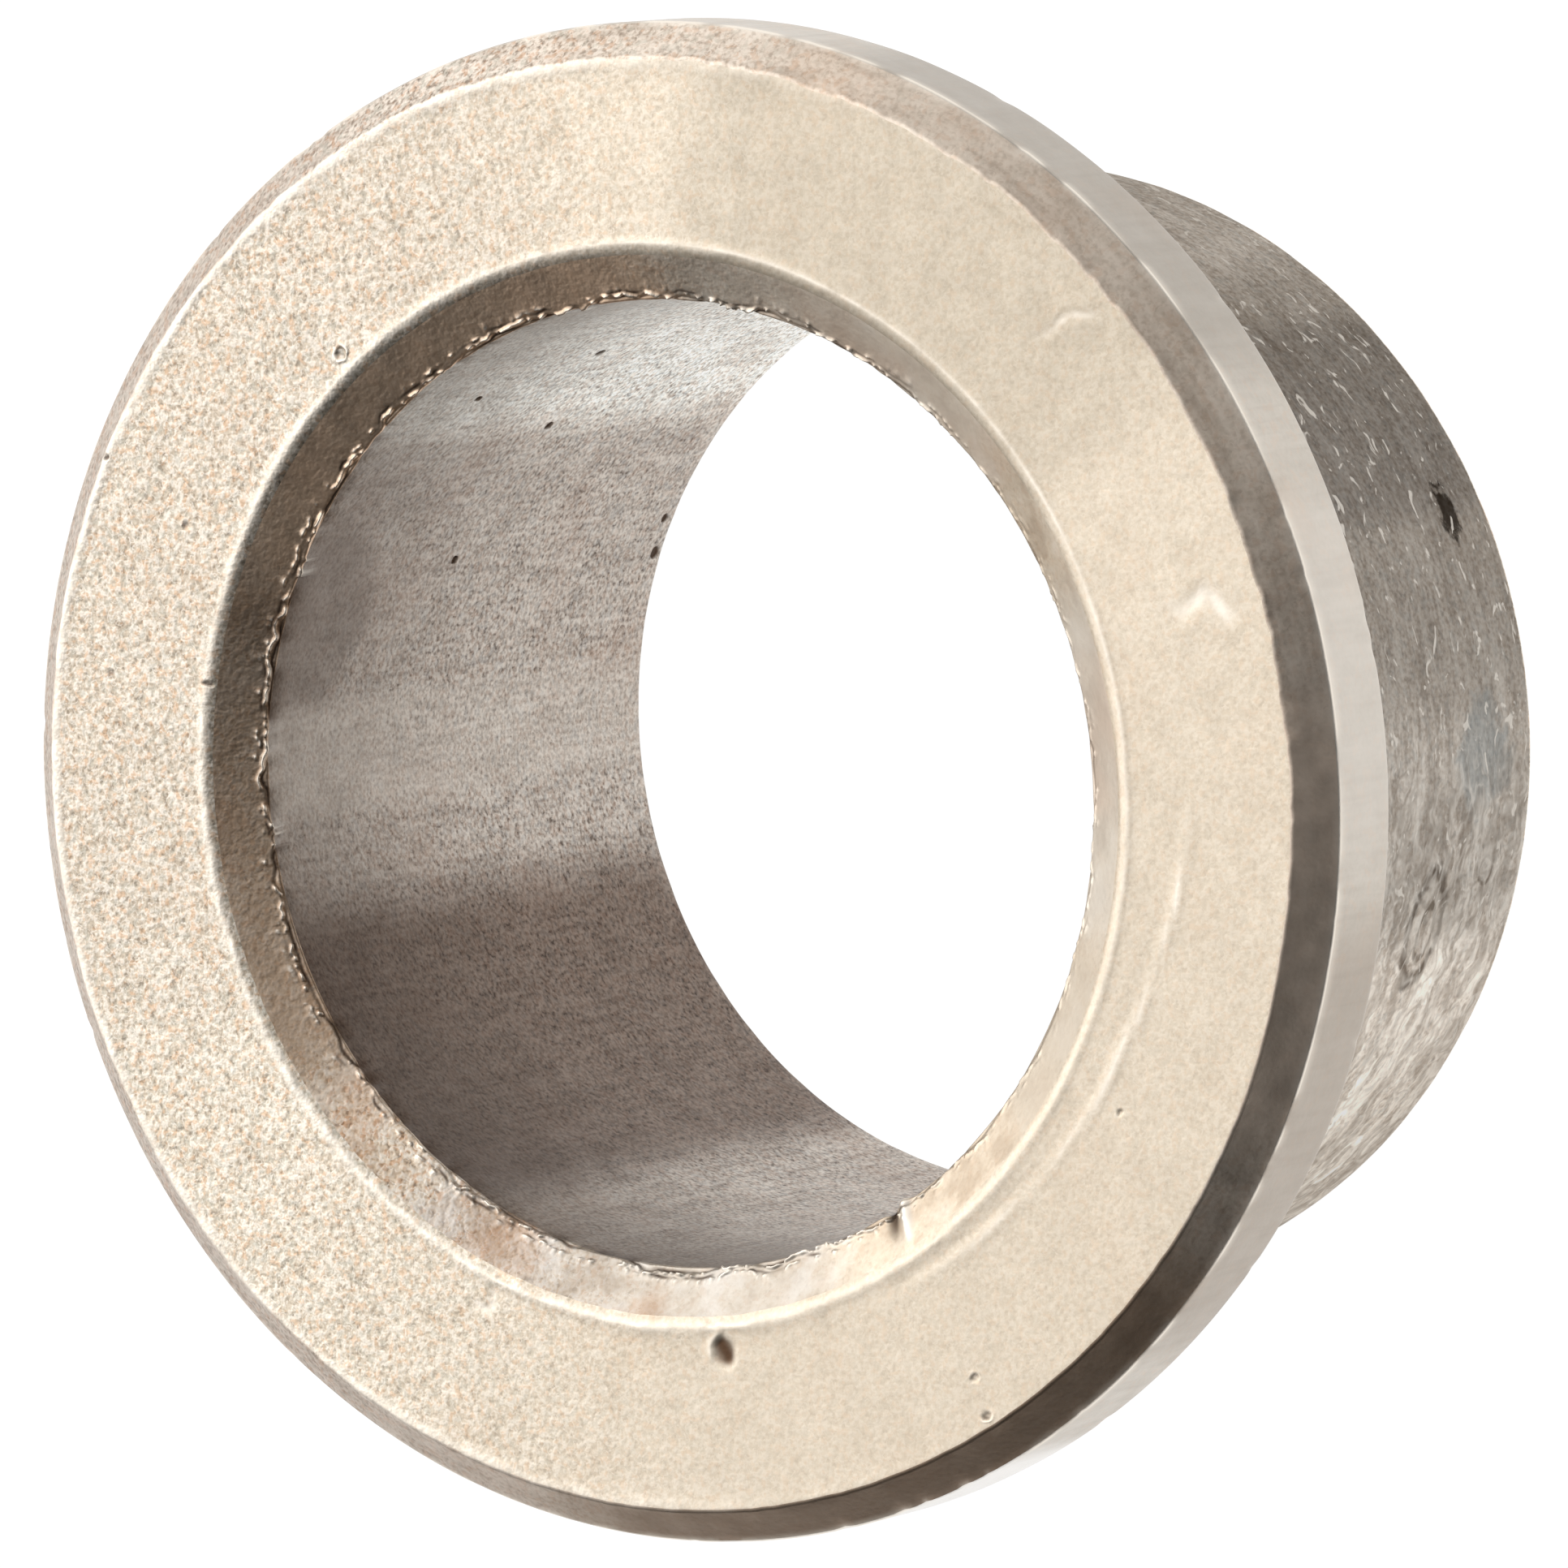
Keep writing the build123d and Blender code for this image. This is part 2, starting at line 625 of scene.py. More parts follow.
@dataclass(frozen=True)
class Flake(Mark):
    """A sliver of metal that stands up across the mouth chamfer.

    Attributes:
        clock: clock angle of the sliver.
        from_radius: radius of its lower end.
        to_radius: radius of its upper end.
        width: half its width.
        height: how far it stands up.
        hollow_beside: how far around from it the hollow lies.
        hollow_width: half the hollow's width.
        hollow_depth: the hollow's depth.
        shine: how pale the sliver is painted, as bare metal and a painted highlight.
        darkening: how dark the hollow is painted, as the sliver's painted shadow.
        lowest: height below which it leaves the skin alone.
        half_strip: half the width of the strip with the finer mesh.
        halvings: how often the faces under it are halved.
    """

    clock: float = 149.0
    from_radius: float = 10.95
    to_radius: float = 12.3
    width: float = 0.16
    height: float = 0.12
    hollow_beside: float = 0.42
    hollow_width: float = 0.17
    hollow_depth: float = 0.1
    shine: float = 1.3
    darkening: float = 0.85
    lowest: float = 2.0
    half_strip: float = 0.8
    halvings: int = 2

    def spread(self, points: np.ndarray) -> tuple[np.ndarray, np.ndarray]:
        """Gives each point's distance around from the flake, and its share of the way up it.

        Args:
            points: places in the part's frame.

        Returns:
            The distance around, and the share of the way up.
        """
        radius = np.hypot(points[:, 0], points[:, 1])
        share = (radius - self.from_radius) / (self.to_radius - self.from_radius)
        return around_from(points, self.clock), share

    def covers(self, points: np.ndarray, section: WallSection, step: int) -> np.ndarray:
        """Covers the flake and the hollow beside it.

        Args:
            points: places in the part's frame.
            section: the half section of the bushing; not used.
            step: how often the faces were halved before; not used.

        Returns:
            True for each face that it covers.
        """
        around, share = self.spread(points)
        beside = (np.abs(around) < self.half_strip) & (points[:, 2] > self.lowest)
        return beside & (share > -0.15) & (share < 1.15)

    def press(self, skin: Skin) -> None:
        """Stands the sliver up and digs the hollow it was torn from, then paints the sliver pale as a
        highlight and the hollow dark as the sliver's shadow.

        Args:
            skin: the surface to mark.
        """
        around, share = self.spread(skin.points)
        along = smooth(share / 0.2 + 0.2) * smooth((1 - share) / 0.6) * (skin.height > self.lowest)
        blade = hump(around, self.width) * along
        hollow = hump(around - self.hollow_beside, self.hollow_width) * smooth(1.3 - 1.5 * share) * along
        skin.lift(self.height * blade - self.hollow_depth * hollow)
        # Painted highlight on the sliver, and its painted shadow in the hollow beside it.
        skin.paint(bright=self.shine * blade, dark=self.darkening * hollow)


@dataclass(frozen=True)
class Pit(Mark):
    """A small chip or open pore in the thrust face, with its metal pushed up on one side.

    Attributes:
        clock: clock angle of its middle.
        radius: radius of its middle.
        around: half its size around the face.
        across: half its size across the face.
        depth: its depth.
        seed: picks its outline.
        darkening: how dark it is painted, for the oil and dust in it and for the shade inside it.
        lip: height of the pushed-up metal, as a share of the depth.
        lowest: height below which the mesh isn't made finer for it.
        brim: where its outline lies, as a share of its half sizes.
        halvings: how often the faces under it are halved.
    """

    clock: float
    radius: float
    around: float
    across: float
    depth: float
    seed: int
    darkening: float = 0.8
    lip: float = 0.25
    lowest: float = 3.0
    brim: float = 1.2
    halvings: int = 2

    def spread(self, points: np.ndarray) -> tuple[np.ndarray, np.ndarray]:
        """Gives each point's offset around and outwards, as shares of the pit's half sizes."""
        radius = np.hypot(points[:, 0], points[:, 1])
        return around_from(points, self.clock) / self.around, (radius - self.radius) / self.across

    def covers(self, points: np.ndarray, section: WallSection, step: int) -> np.ndarray:
        """Covers the pit and a little around it."""
        return (np.hypot(*self.spread(points)) < 1.5 * self.brim) & (points[:, 2] > self.lowest)

    def press(self, skin: Skin) -> None:
        """Sinks the pit with a jagged outline and an uneven floor, and paints it dark in places, for oil and
        dust and as painted shade.

        Args:
            skin: the surface to mark.
        """
        around, out = self.spread(skin.points)
        bearing = np.arctan2(out, around) / math.tau
        distance = np.hypot(around, out) / between(0.65, 1.25, ring_noise(bearing, 6, self.seed))
        hole = smooth((self.brim - distance) / 0.7) * skin.on_face
        patchy = 0.5 + 0.5 * np.sin(4.0 * around + 2.5 * out + self.seed)
        raised = smooth(2 * ring_noise(bearing, 5, self.seed + 1) - 0.7)
        lip = hump(distance - self.brim, 0.3) * skin.on_face * raised
        skin.lift(self.depth * (self.lip * lip - hole * between(0.6, 1, patchy)))
        # Dark paint in the pit: oil and dust, and painted shade inside it.
        skin.paint(bright=lip * min(1.0, 2 * self.lip), dark=hole * self.darkening * between(0.7, 1, patchy))


@dataclass(frozen=True)
class OpenPore(Mark):
    """A round pore that is open in the bore wall.

    Attributes:
        clock: clock angle of its middle.
        height: height of its middle.
        size: its radius, about.
        depth: its depth.
        widest: radius beyond which the skin is no longer the bore's.
        out_of_reach: what is added to the distance of such skin, so that the pore leaves it alone.
        halvings: how often the faces under it are halved.
    """

    clock: float
    height: float
    size: float
    depth: float = 0.06
    widest: float = 11.5
    out_of_reach: float = 9.0
    halvings: int = 4

    def distance(self, points: np.ndarray) -> np.ndarray:
        """Gives each point's distance from the pore's middle, as a share of its size.

        Args:
            points: places in the part's frame.

        Returns:
            One distance for each point.
        """
        radius = np.hypot(points[:, 0], points[:, 1])
        middle = clock_point(self.clock, 1, 0) * radius[:, None]
        middle[:, 2] = self.height
        outside = self.out_of_reach * (radius > self.widest)
        return np.linalg.norm(points - middle, axis=1) / self.size + outside

    def covers(self, points: np.ndarray, section: WallSection, step: int) -> np.ndarray:
        """Covers the pore and its rim, and at first a little more, because the faces are still long."""
        return self.distance(points) * self.size < 2 * self.size + 0.5 / 2**step

    def press(self, skin: Skin) -> None:
        """Sinks the pore and paints it dark, for its oil and for the shade inside it.

        Args:
            skin: the surface to mark.
        """
        hole = smooth((1.2 - self.distance(skin.points)) / 0.5)
        skin.lift(-self.depth * hole)
        # Dark paint in the pore: oil, and painted shade inside it.
        skin.paint(dark=hole)


@dataclass(frozen=True)
class Scratch(Mark):
    """A light line drawn across the thrust face.

    Attributes:
        start: clock angle and radius of one end.
        stop: clock angle and radius of the other end.
        width: half the groove's width.
        depth: the groove's depth.
        shine: how far bare metal shows in it.
        bow: how far it strays from a straight line, as a share of its width.
        bends: how fast it strays, in radians of a wave from end to end.
        lowest: height below which the mesh isn't made finer for it.
        seed: picks where it shines.
        halvings: how often the faces under it are halved.
    """

    start: tuple[float, float]
    stop: tuple[float, float]
    width: float
    depth: float
    shine: float
    bow: float = 0.8
    bends: float = 9.0
    lowest: float = 3.1
    seed: int = 51
    halvings: int = 1

    def spread(self, points: np.ndarray) -> tuple[np.ndarray, np.ndarray]:
        """Gives each point's distance from the line, and its share of the way along it.

        Args:
            points: places in the part's frame.

        Returns:
            The distance from the line, and the share of the way along it.
        """
        start = clock_point(*self.start, 0)[:2]
        way = clock_point(*self.stop, 0)[:2] - start
        length = np.linalg.norm(way)
        offset = points[:, :2] - start
        share = offset @ way / length**2
        beyond = np.maximum(np.abs(share - 0.5) - 0.5, 0) * length
        bow = self.bow * self.width * np.sin(self.bends * share)
        return np.hypot(offset @ np.array((-way[1], way[0])) / length + bow, beyond), share

    def covers(self, points: np.ndarray, section: WallSection, step: int) -> np.ndarray:
        """Covers the line's own width and its pushed-up sides."""
        return (self.spread(points)[0] < 3 * self.width) & (points[:, 2] > self.lowest)

    def press(self, skin: Skin) -> None:
        """Cuts the groove, raises its sides and polishes it.

        Args:
            skin: the surface to mark.
        """
        distance, share = self.spread(skin.points)
        faded = smooth(2.5 * share + 0.3) * smooth(2.5 * (1 - share) + 0.3) * skin.on_face
        groove = hump(distance, self.width) * faded
        sides = hump(distance - 1.8 * self.width, self.width) * faded
        skin.lift(self.depth * (0.5 * sides - groove))
        skin.paint(bright=self.shine * groove * between(0.5, 1, ring_noise(share, 9, self.seed)))


@dataclass(frozen=True)
class EdgeNicks(Mark):
    """Small knocks along a sharp outer edge, from lying in a tray with others.

    Attributes:
        radius: radius of the edge.
        height: height of the edge.
        count: how many knocks there are.
        size: half the length of a middling one.
        depth: depth of a middling one.
        seed: picks their places and sizes.
        reach: how far from the edge they fade out.
        shine: how far bare metal shows in them.
    """

    radius: float
    height: float
    count: int
    size: float
    depth: float
    seed: int
    reach: float = 0.16
    shine: float = 0.5

    def press(self, skin: Skin) -> None:
        """Dents the edge at random places around it.

        Args:
            skin: the surface to mark.
        """
        chance = np.random.default_rng(self.seed)
        near = skin.near(self.radius, self.height, self.reach)
        for place, scale in zip(chance.random(self.count), 0.4 + 0.9 * chance.random(self.count)):
            around = ((skin.turn - place + 0.5) % 1 - 0.5) * math.tau * self.radius
            dent = hump(around, self.size * scale) * near
            skin.lift(-self.depth * scale * dent)
            skin.paint(bright=self.shine * dent)


@dataclass(frozen=True)
class EdgeWear(Mark):
    """The bare, brighter metal that handling leaves on a corner of the section, with dirt beside it.

    Attributes:
        radius: radius of the corner.
        height: height of the corner.
        width: how far from the corner the wear fades out.
        strength: how far bare metal shows.
        knots: how many times the wear changes around the ring.
        seed: picks its random values.
        darkening: how far dirt fills the skin beside it.
        dirt_side: how far inwards and up from the corner the dirt lies.
        rough: height of its small waves, from trough to crest.
    """

    radius: float
    height: float
    width: float
    strength: float
    knots: int
    seed: int
    darkening: float = 0.0
    dirt_side: float = 0.12
    rough: float = 0.012

    def press(self, skin: Skin) -> None:
        """Brightens the corner unevenly, dirties the skin inside it and leaves it slightly wavy.

        Args:
            skin: the surface to mark.
        """
        near = skin.near(self.radius, self.height, self.width)
        inside = skin.near(self.radius - self.dirt_side, self.height + self.dirt_side, 0.7 * self.width)
        uneven = skin.noise(self.knots, self.seed)
        broken = smooth(2.4 * skin.noise(2 * self.knots, self.seed + 1) - 0.9)
        skin.paint(bright=self.strength * near * smooth(1.6 * uneven - 0.1))
        skin.paint(dark=self.darkening * inside * broken)
        skin.lift(self.rough * near * (uneven - 0.5))


@dataclass(frozen=True)
class FaceSwell(Mark):
    """The slow unevenness of a face that was never machined.

    Attributes:
        height: height of a wave, from trough to crest.
        waves: how many waves go around the face.
        tilts: how many times its slope changes around it.
        seed: picks its random values.
    """

    height: float = 0.009
    waves: int = 17
    tilts: int = 11
    seed: int = 61

    def press(self, skin: Skin) -> None:
        """Adds a few long waves around and across the face.

        Args:
            skin: the surface to mark.
        """
        middle = 0.5 * (skin.section.mouth_edge_r + skin.section.face_edge_r)
        wave = skin.noise(self.waves, self.seed) - 0.5
        tilt = (skin.noise(self.tilts, self.seed + 1) - 0.5) * (skin.radius - middle) / 2
        skin.lift(self.height * (wave + tilt) * skin.on_face)


def to_linear(colour: str) -> tuple[float, float, float, float]:
    """Turns an sRGB hex colour into the linear colour that shaders take, with full alpha."""
    parts = [int(colour[i : i + 2], 16) / 255 for i in (1, 3, 5)]
    return (*(c / 12.92 if c <= 0.04045 else ((c + 0.055) / 1.055) ** 2.4 for c in parts), 1.0)


@dataclass(frozen=True)
class Nodes:
    """A shader tree that is being filled."""

    tree: bpy.types.NodeTree

    def add(
        self, kind: str, sockets: dict | None = None, give: int | str = 0, **settings: object
    ) -> bpy.types.NodeSocket | None:
        """Adds a node, sets it up and links it.

        Args:
            kind: the node's type, without the "ShaderNode" that starts it.
            sockets: for an input's name or number, the output that feeds it, its value or its hex colour.
            give: name or number of the output to give back.
            settings: the node's own settings.

        Returns:
            The chosen output, or None from a node that has none.
        """
        node = self.tree.nodes.new("ShaderNode" + kind)
        for name, value in settings.items():
            setattr(node, name, value)
        for name, value in (sockets or {}).items():
            if isinstance(value, bpy.types.NodeSocket):
                self.tree.links.new(value, node.inputs[name])
            else:
                node.inputs[name].default_value = to_linear(value) if isinstance(value, str) else value
        return node.outputs[give] if node.outputs else None


class Blend(Enum):
    """How a coat changes the colour under it."""

    COVER = "MIX"
    DARKEN = "MULTIPLY"
    BRIGHTEN = "DODGE"


@dataclass(frozen=True)
class Coat:
    """One colour laid over another where a pattern passes from one value to another.

    Attributes:
        pattern: the value that says where the coat lies.
        start: the value at which it starts.
        full: the value at which it has its full share.
        share: how strongly it covers there, 0 to 1.
        colour: its colour.
        blend: how it changes what is under it.
    """

    pattern: bpy.types.NodeSocket
    start: float
    full: float
    share: float
    colour: str
    blend: Blend = Blend.COVER

    def over(self, nodes: Nodes, under: bpy.types.NodeSocket | str) -> bpy.types.NodeSocket:
        """Lays the coat over a colour."""
        sockets = {FACTOR: self.mask(nodes), COLOUR_UNDER: under, COLOUR_OVER: self.colour}
        return nodes.add("Mix", sockets, COLOUR_MIXED, data_type="RGBA", blend_type=self.blend.value)

    def mask(self, nodes: Nodes) -> bpy.types.NodeSocket:
        """Gives how far the coat covers, from 0 to its share."""
        sockets = {"Value": self.pattern, "From Min": self.start, "From Max": self.full}
        return nodes.add("MapRange", sockets | {"To Max": self.share}, interpolation_type="SMOOTHSTEP")


class Streaks(Enum):
    """Which way a tool has wiped a surface: how far the pattern is stretched along X, Y and Z."""

    NONE = (1.0, 1.0, 1.0)
    ALONG_AXIS = (1.0, 1.0, 0.08)
    AROUND = (0.12, 0.12, 1.0)


def side_pattern(nodes: Nodes, place: bpy.types.NodeSocket, clock: float) -> bpy.types.NodeSocket:
    """Gives the cosine of the angle between a place and a clock angle, as seen from the bore axis.

    Args:
        nodes: the tree that is being filled.
        place: the part's own coordinates, in millimetres.
        clock: the clock angle, in degrees.

    Returns:
        The cosine, from -1 to 1.
    """
    flat = nodes.add("VectorMath", {0: place, 1: (1, 1, 0)}, operation="MULTIPLY")
    unit = nodes.add("VectorMath", {0: flat}, operation="NORMALIZE")
    way = tuple(clock_point(clock, 1, 0))
    return nodes.add("VectorMath", {0: unit, 1: way}, "Value", operation="DOT_PRODUCT")


@dataclass(frozen=True)
class Band:
    """A soft change of tone on the side of the ring that faces a clock angle.

    Attributes:
        clock: clock angle of its middle.
        half_width: how far it reaches to either side of it, in degrees.
        colour: its colour.
        share: how strongly it covers in its middle, 0 to 1.
        blend: how it changes what is under it.
        level: how much of it has the full share: 0 for only its middle, 1 for all of it.
    """

    clock: float
    half_width: float
    colour: str
    share: float
    blend: Blend = Blend.COVER
    level: float = 0.4

    def coat(self, nodes: Nodes, place: bpy.types.NodeSocket) -> Coat:
        """Turns the band into a coat that fades from its middle to its sides.

        Args:
            nodes: the tree that is being filled.
            place: the part's own coordinates, in millimetres.

        Returns:
            The coat.
        """
        edge = math.cos(math.radians(self.half_width))
        full = 1 - self.level * (1 - edge)
        pattern = side_pattern(nodes, place, self.clock)
        return Coat(pattern, edge, full, self.share, self.colour, self.blend)


@dataclass(frozen=True)
class RubMarks:
    """Curling rub marks on one side of the sleeve, and short pale ticks, from hands and other parts.

    Attributes:
        clock: clock angle of the side with the curls.
        half_width: how far they reach to either side of it, in degrees.
        share: how strongly a curl covers.
        flatten: how the marks are stretched along X, Y and Z.
        drift: how far they wander, in millimetres.
        light_scales: curls in the light colour, as waves per millimetre.
        shade_scales: curls in the shade colour, as waves per millimetre.
        curl_width: how far from its middle line a curl fades out, as a share of the noise.
        thinned: how much narrower curls are at the edge of their side than in its middle.
        tick_scale: ticks, as waves per millimetre.
        tick_share: how strongly a tick covers.
    """

    clock: float
    half_width: float
    share: float
    flatten: tuple[float, float, float] = (0.4, 0.4, 1.0)
    drift: float = 1.5
    light_scales: tuple[float, float] = (1.0, 1.8)
    shade_scales: tuple[float, float] = (0.6, 1.4)
    curl_width: float = 0.09
    thinned: float = 0.12
    tick_scale: float = 4.0
    tick_share: float = 0.8

    def bent(self, nodes: Nodes, place: bpy.types.NodeSocket) -> bpy.types.NodeSocket:
        """Gives the places that the marks are drawn in: stretched around the sleeve and wandering.

        Args:
            nodes: the tree that is being filled.
            place: the part's own coordinates, in millimetres.

        Returns:
            The bent coordinates.
        """
        wander = nodes.add("TexNoise", {"Vector": place, "Scale": 0.7, "Detail": 2.0}, "Color")
        flat = nodes.add("VectorMath", {0: place, 1: self.flatten}, operation="MULTIPLY")
        sockets = {0: wander, 1: (self.drift,) * 3, 2: flat}
        return nodes.add("VectorMath", sockets, operation="MULTIPLY_ADD")

    def curls(self, nodes: Nodes, place: bpy.types.NodeSocket, light: str, shade: str) -> list[Coat]:
        """Lists the coats of the curls, light and shaded in turn.

        Args:
            nodes: the tree that is being filled.
            place: the part's own coordinates, in millimetres.
            light: colour of the pale marks.
            shade: colour of the dark marks.

        Returns:
            The coats, lowest first.
        """
        bent = self.bent(nodes, place)
        edge = math.cos(math.radians(self.half_width))
        sockets = {"Value": side_pattern(nodes, place, self.clock), "From Min": edge}
        sockets |= {"From Max": 0.5 + 0.5 * edge, "To Min": self.thinned, "To Max": 0.0}
        missing = nodes.add("MapRange", sockets)
        coats = []
        for light_scale, shade_scale in zip(self.light_scales, self.shade_scales):
            for scale, tone in ((light_scale, light), (shade_scale, shade)):
                curl = nodes.add("TexNoise", {"Vector": bent, "Scale": scale, "Detail": 2.0})
                curl = nodes.add("Math", {0: curl, 1: 0.5}, operation="SUBTRACT")
                curl = nodes.add("Math", {0: curl}, operation="ABSOLUTE")
                curl = nodes.add("Math", {0: curl, 1: missing}, operation="ADD")
                coats.append(Coat(curl, self.curl_width, 0.0, self.share, tone))
        return coats

    def ticks(self, nodes: Nodes, place: bpy.types.NodeSocket, light: str) -> Coat:
        """Gives the coat of the ticks."""
        sockets = {"Vector": self.bent(nodes, place), "Scale": self.tick_scale, "Detail": 2.0}
        return Coat(nodes.add("TexNoise", sockets), 0.62, 0.7, self.tick_share, light)


@dataclass(frozen=True)
class StainOrPaintedLight:
    """A soft patch of colour, drawn out of round by the surface's own unevenness: a smudge on the sleeve, and
    in the bore a painted shadow and a painted highlight.

    Attributes:
        clock: clock angle of its middle.
        radius: radius of the surface it lies on.
        height: height of its middle.
        around: half its size around the sleeve.
        along: half its size along the axis.
        colour: its colour.
        share: how strongly it covers.
        hollow: True for one that shows only as an outline.
        ragged: how far its outline strays, as a share of its size.
        rim: where a hollow one's outline lies, as a share of its size.
    """

    clock: float
    radius: float
    height: float
    around: float
    along: float
    colour: str
    share: float
    hollow: bool = False
    ragged: float = 1.4
    rim: float = 0.85

    def coat(self, nodes: Nodes, place: bpy.types.NodeSocket) -> Coat:
        """Turns the patch of colour into a coat.

        Args:
            nodes: the tree that is being filled.
            place: the part's own coordinates, in millimetres.

        Returns:
            The coat.
        """
        turn = math.radians(self.clock)
        middle = tuple(clock_point(self.clock, self.radius, self.height))
        offset = nodes.add("VectorMath", {0: place, 1: middle}, operation="SUBTRACT")
        # Measured in its own half sizes; the third way keeps it off the far side of the ring.
        ways = {
            "X": (-math.sin(turn) / self.around, -math.cos(turn) / self.around, 0),
            "Y": (0, 0, 1 / self.along),
            "Z": tuple(clock_point(self.clock, 2 / self.radius, 0)),
        }
        shares = {
            axis: nodes.add("VectorMath", {0: offset, 1: way}, "Value", operation="DOT_PRODUCT")
            for axis, way in ways.items()
        }
        flat = nodes.add("CombineXYZ", shares)
        distance = nodes.add("VectorMath", {0: flat}, "Value", operation="LENGTH")
        sockets = {"Vector": place, "Scale": 1.6 / self.along, "Detail": 4.0, "Roughness": 0.6}
        noise = nodes.add("TexNoise", sockets)
        strayed = nodes.add("Math", {0: noise, 1: self.ragged, 2: distance}, operation="MULTIPLY_ADD")
        shifted = nodes.add("Math", {0: strayed, 1: 0.5 * self.ragged}, operation="SUBTRACT")
        if not self.hollow:
            return Coat(shifted, 1.0, 0.6, self.share, self.colour)
        outline = nodes.add("Math", {0: shifted, 1: self.rim}, operation="SUBTRACT")
        outline = nodes.add("Math", {0: outline}, operation="ABSOLUTE")
        return Coat(outline, 0.2, 0.05, self.share, self.colour)


@dataclass(frozen=True)
class SinteredBronze:
    """Bronze powder pressed in a die, sintered and sized.

    Flattened grains lie side by side with small pores between them. Each has its own tint, from grey
    through cream to copper, so a pressed face is matt and sparkles. Where a die or a core rod has wiped the
    grains flat, the surface is smoother and greyer and keeps streaks the way the tool went. The powder's
    grains are 0.05 to 0.15 mm wide; they are drawn at the coarse end of that, so that they show.

    Attributes:
        name: the material's name, for the metal and how this stretch of it was made.
        body: main colour.
        light: colour of high and rubbed grains.
        shade: colour of low grains and oily streaks, and of the painted shade towards the bore's mouth.
        warm: colour of the copper-rich grains.
        cool: colour of the tin-rich grains.
        bare: colour of rubbed, bare bronze, and of the painted highlights on raised lines and the flake.
        grime_and_shade: colour of oil and dust in pores and corners, and of the painted shade and shadows in
            creases, pits and hollows.
        roughness: the surface's mean roughness.
        roughness_swing: how far patches stray from the mean roughness.
        grain: size of a powder grain, in millimetres.
        grain_share: how strongly the grain shows, 0 to 1.
        fleck_share: how strongly copper-rich and tin-rich grains show, 0 to 1.
        worm_share: how strongly the joints between smeared grains show as thin curls, 0 to 1.
        relief: depth of the fine relief, in millimetres.
        streaks: which way the tool went.
        streak: a streak's width, in millimetres.
        streak_share: how strongly streaks show, 0 to 1.
        pore_share: how strongly small dark pores show, 0 to 1.
        mottle_share: how strongly soft patches of a millimetre show, 0 to 1.
        calm: band in which the punch has burnished the grain away, or None.
        light_and_shade_bands: painted light and shade, each a soft change of tone on the side of the ring
            where more or less light falls.
        rubs: rub marks from hands and other parts, or None.
        stains_and_painted_light: single patches of colour: smudges on the sleeve, and painted shadow and
            painted highlight in the bore.
        mouth_shade: how strongly painted shade darkens the skin towards the mouth of the bore, 0 to 1.
        grazing: tint of the metal where it is seen almost edge-on.
    """

    name: str
    body: str = "#DACDBA"
    light: str = "#F6EEE2"
    shade: str = "#B3A593"
    warm: str = "#E2BA96"
    cool: str = "#BDBBAE"
    bare: str = "#F8EFE2"
    grime_and_shade: str = "#4E3D31"
    roughness: float = 0.5
    roughness_swing: float = 0.04
    grain: float = 0.13
    grain_share: float = 0.7
    fleck_share: float = 0.5
    worm_share: float = 0.65
    relief: float = 0.014
    streaks: Streaks = Streaks.NONE
    streak: float = 0.22
    streak_share: float = 0.0
    pore_share: float = 0.5
    mottle_share: float = 0.12
    calm: Band | None = None
    light_and_shade_bands: tuple[Band, ...] = ()
    rubs: RubMarks | None = None
    stains_and_painted_light: tuple[StainOrPaintedLight, ...] = ()
    mouth_shade: float = 0.0
    grazing: str = "#FFFFFF"

    def material(self) -> bpy.types.Material:
        """Makes the material and fills its tree.

        Returns:
            The finished material.
        """
        made = bpy.data.materials.new(self.name)
        made.use_nodes = True
        made.node_tree.nodes.clear()
        nodes = Nodes(made.node_tree)
        place = nodes.add("TexCoord", give="Object")
        place = nodes.add("VectorMath", {0: place, "Scale": 1 / MM}, operation="SCALE")
        colour, height = self.grains(nodes, place)
        coats = self.wiped(nodes, place) + self.handled(nodes, place)
        for coat in coats:
            colour = coat.over(nodes, colour)
        self.shaded(nodes, place, colour, height)
        return made

    def grains(
        self, nodes: Nodes, place: bpy.types.NodeSocket
    ) -> tuple[bpy.types.NodeSocket, bpy.types.NodeSocket]:
        """Builds the powder grains.

        Args:
            nodes: the material's tree.
            place: the part's own coordinates, in millimetres.

        Returns:
            The colour, and the height of the fine relief from 0 to 1.
        """
        fine = nodes.add("TexNoise", {"Vector": place, "Scale": 1 / self.grain, "Detail": 1.0})
        kind = nodes.add("TexNoise", {"Vector": place, "Scale": 0.6 / self.grain, "Detail": 1.0})
        drift = nodes.add("TexNoise", {"Vector": place, "Scale": 0.5 / self.grain}, "Color")
        sockets = {0: drift, 1: (2.0 * self.grain,) * 3, 2: place}
        bent = nodes.add("VectorMath", sockets, operation="MULTIPLY_ADD")
        joint = nodes.add("TexNoise", {"Vector": bent, "Scale": 0.55 / self.grain, "Detail": 1.0})
        joint = nodes.add("Math", {0: joint, 1: 0.5}, operation="SUBTRACT")
        joint = nodes.add("Math", {0: joint}, operation="ABSOLUTE")
        colour = self.body
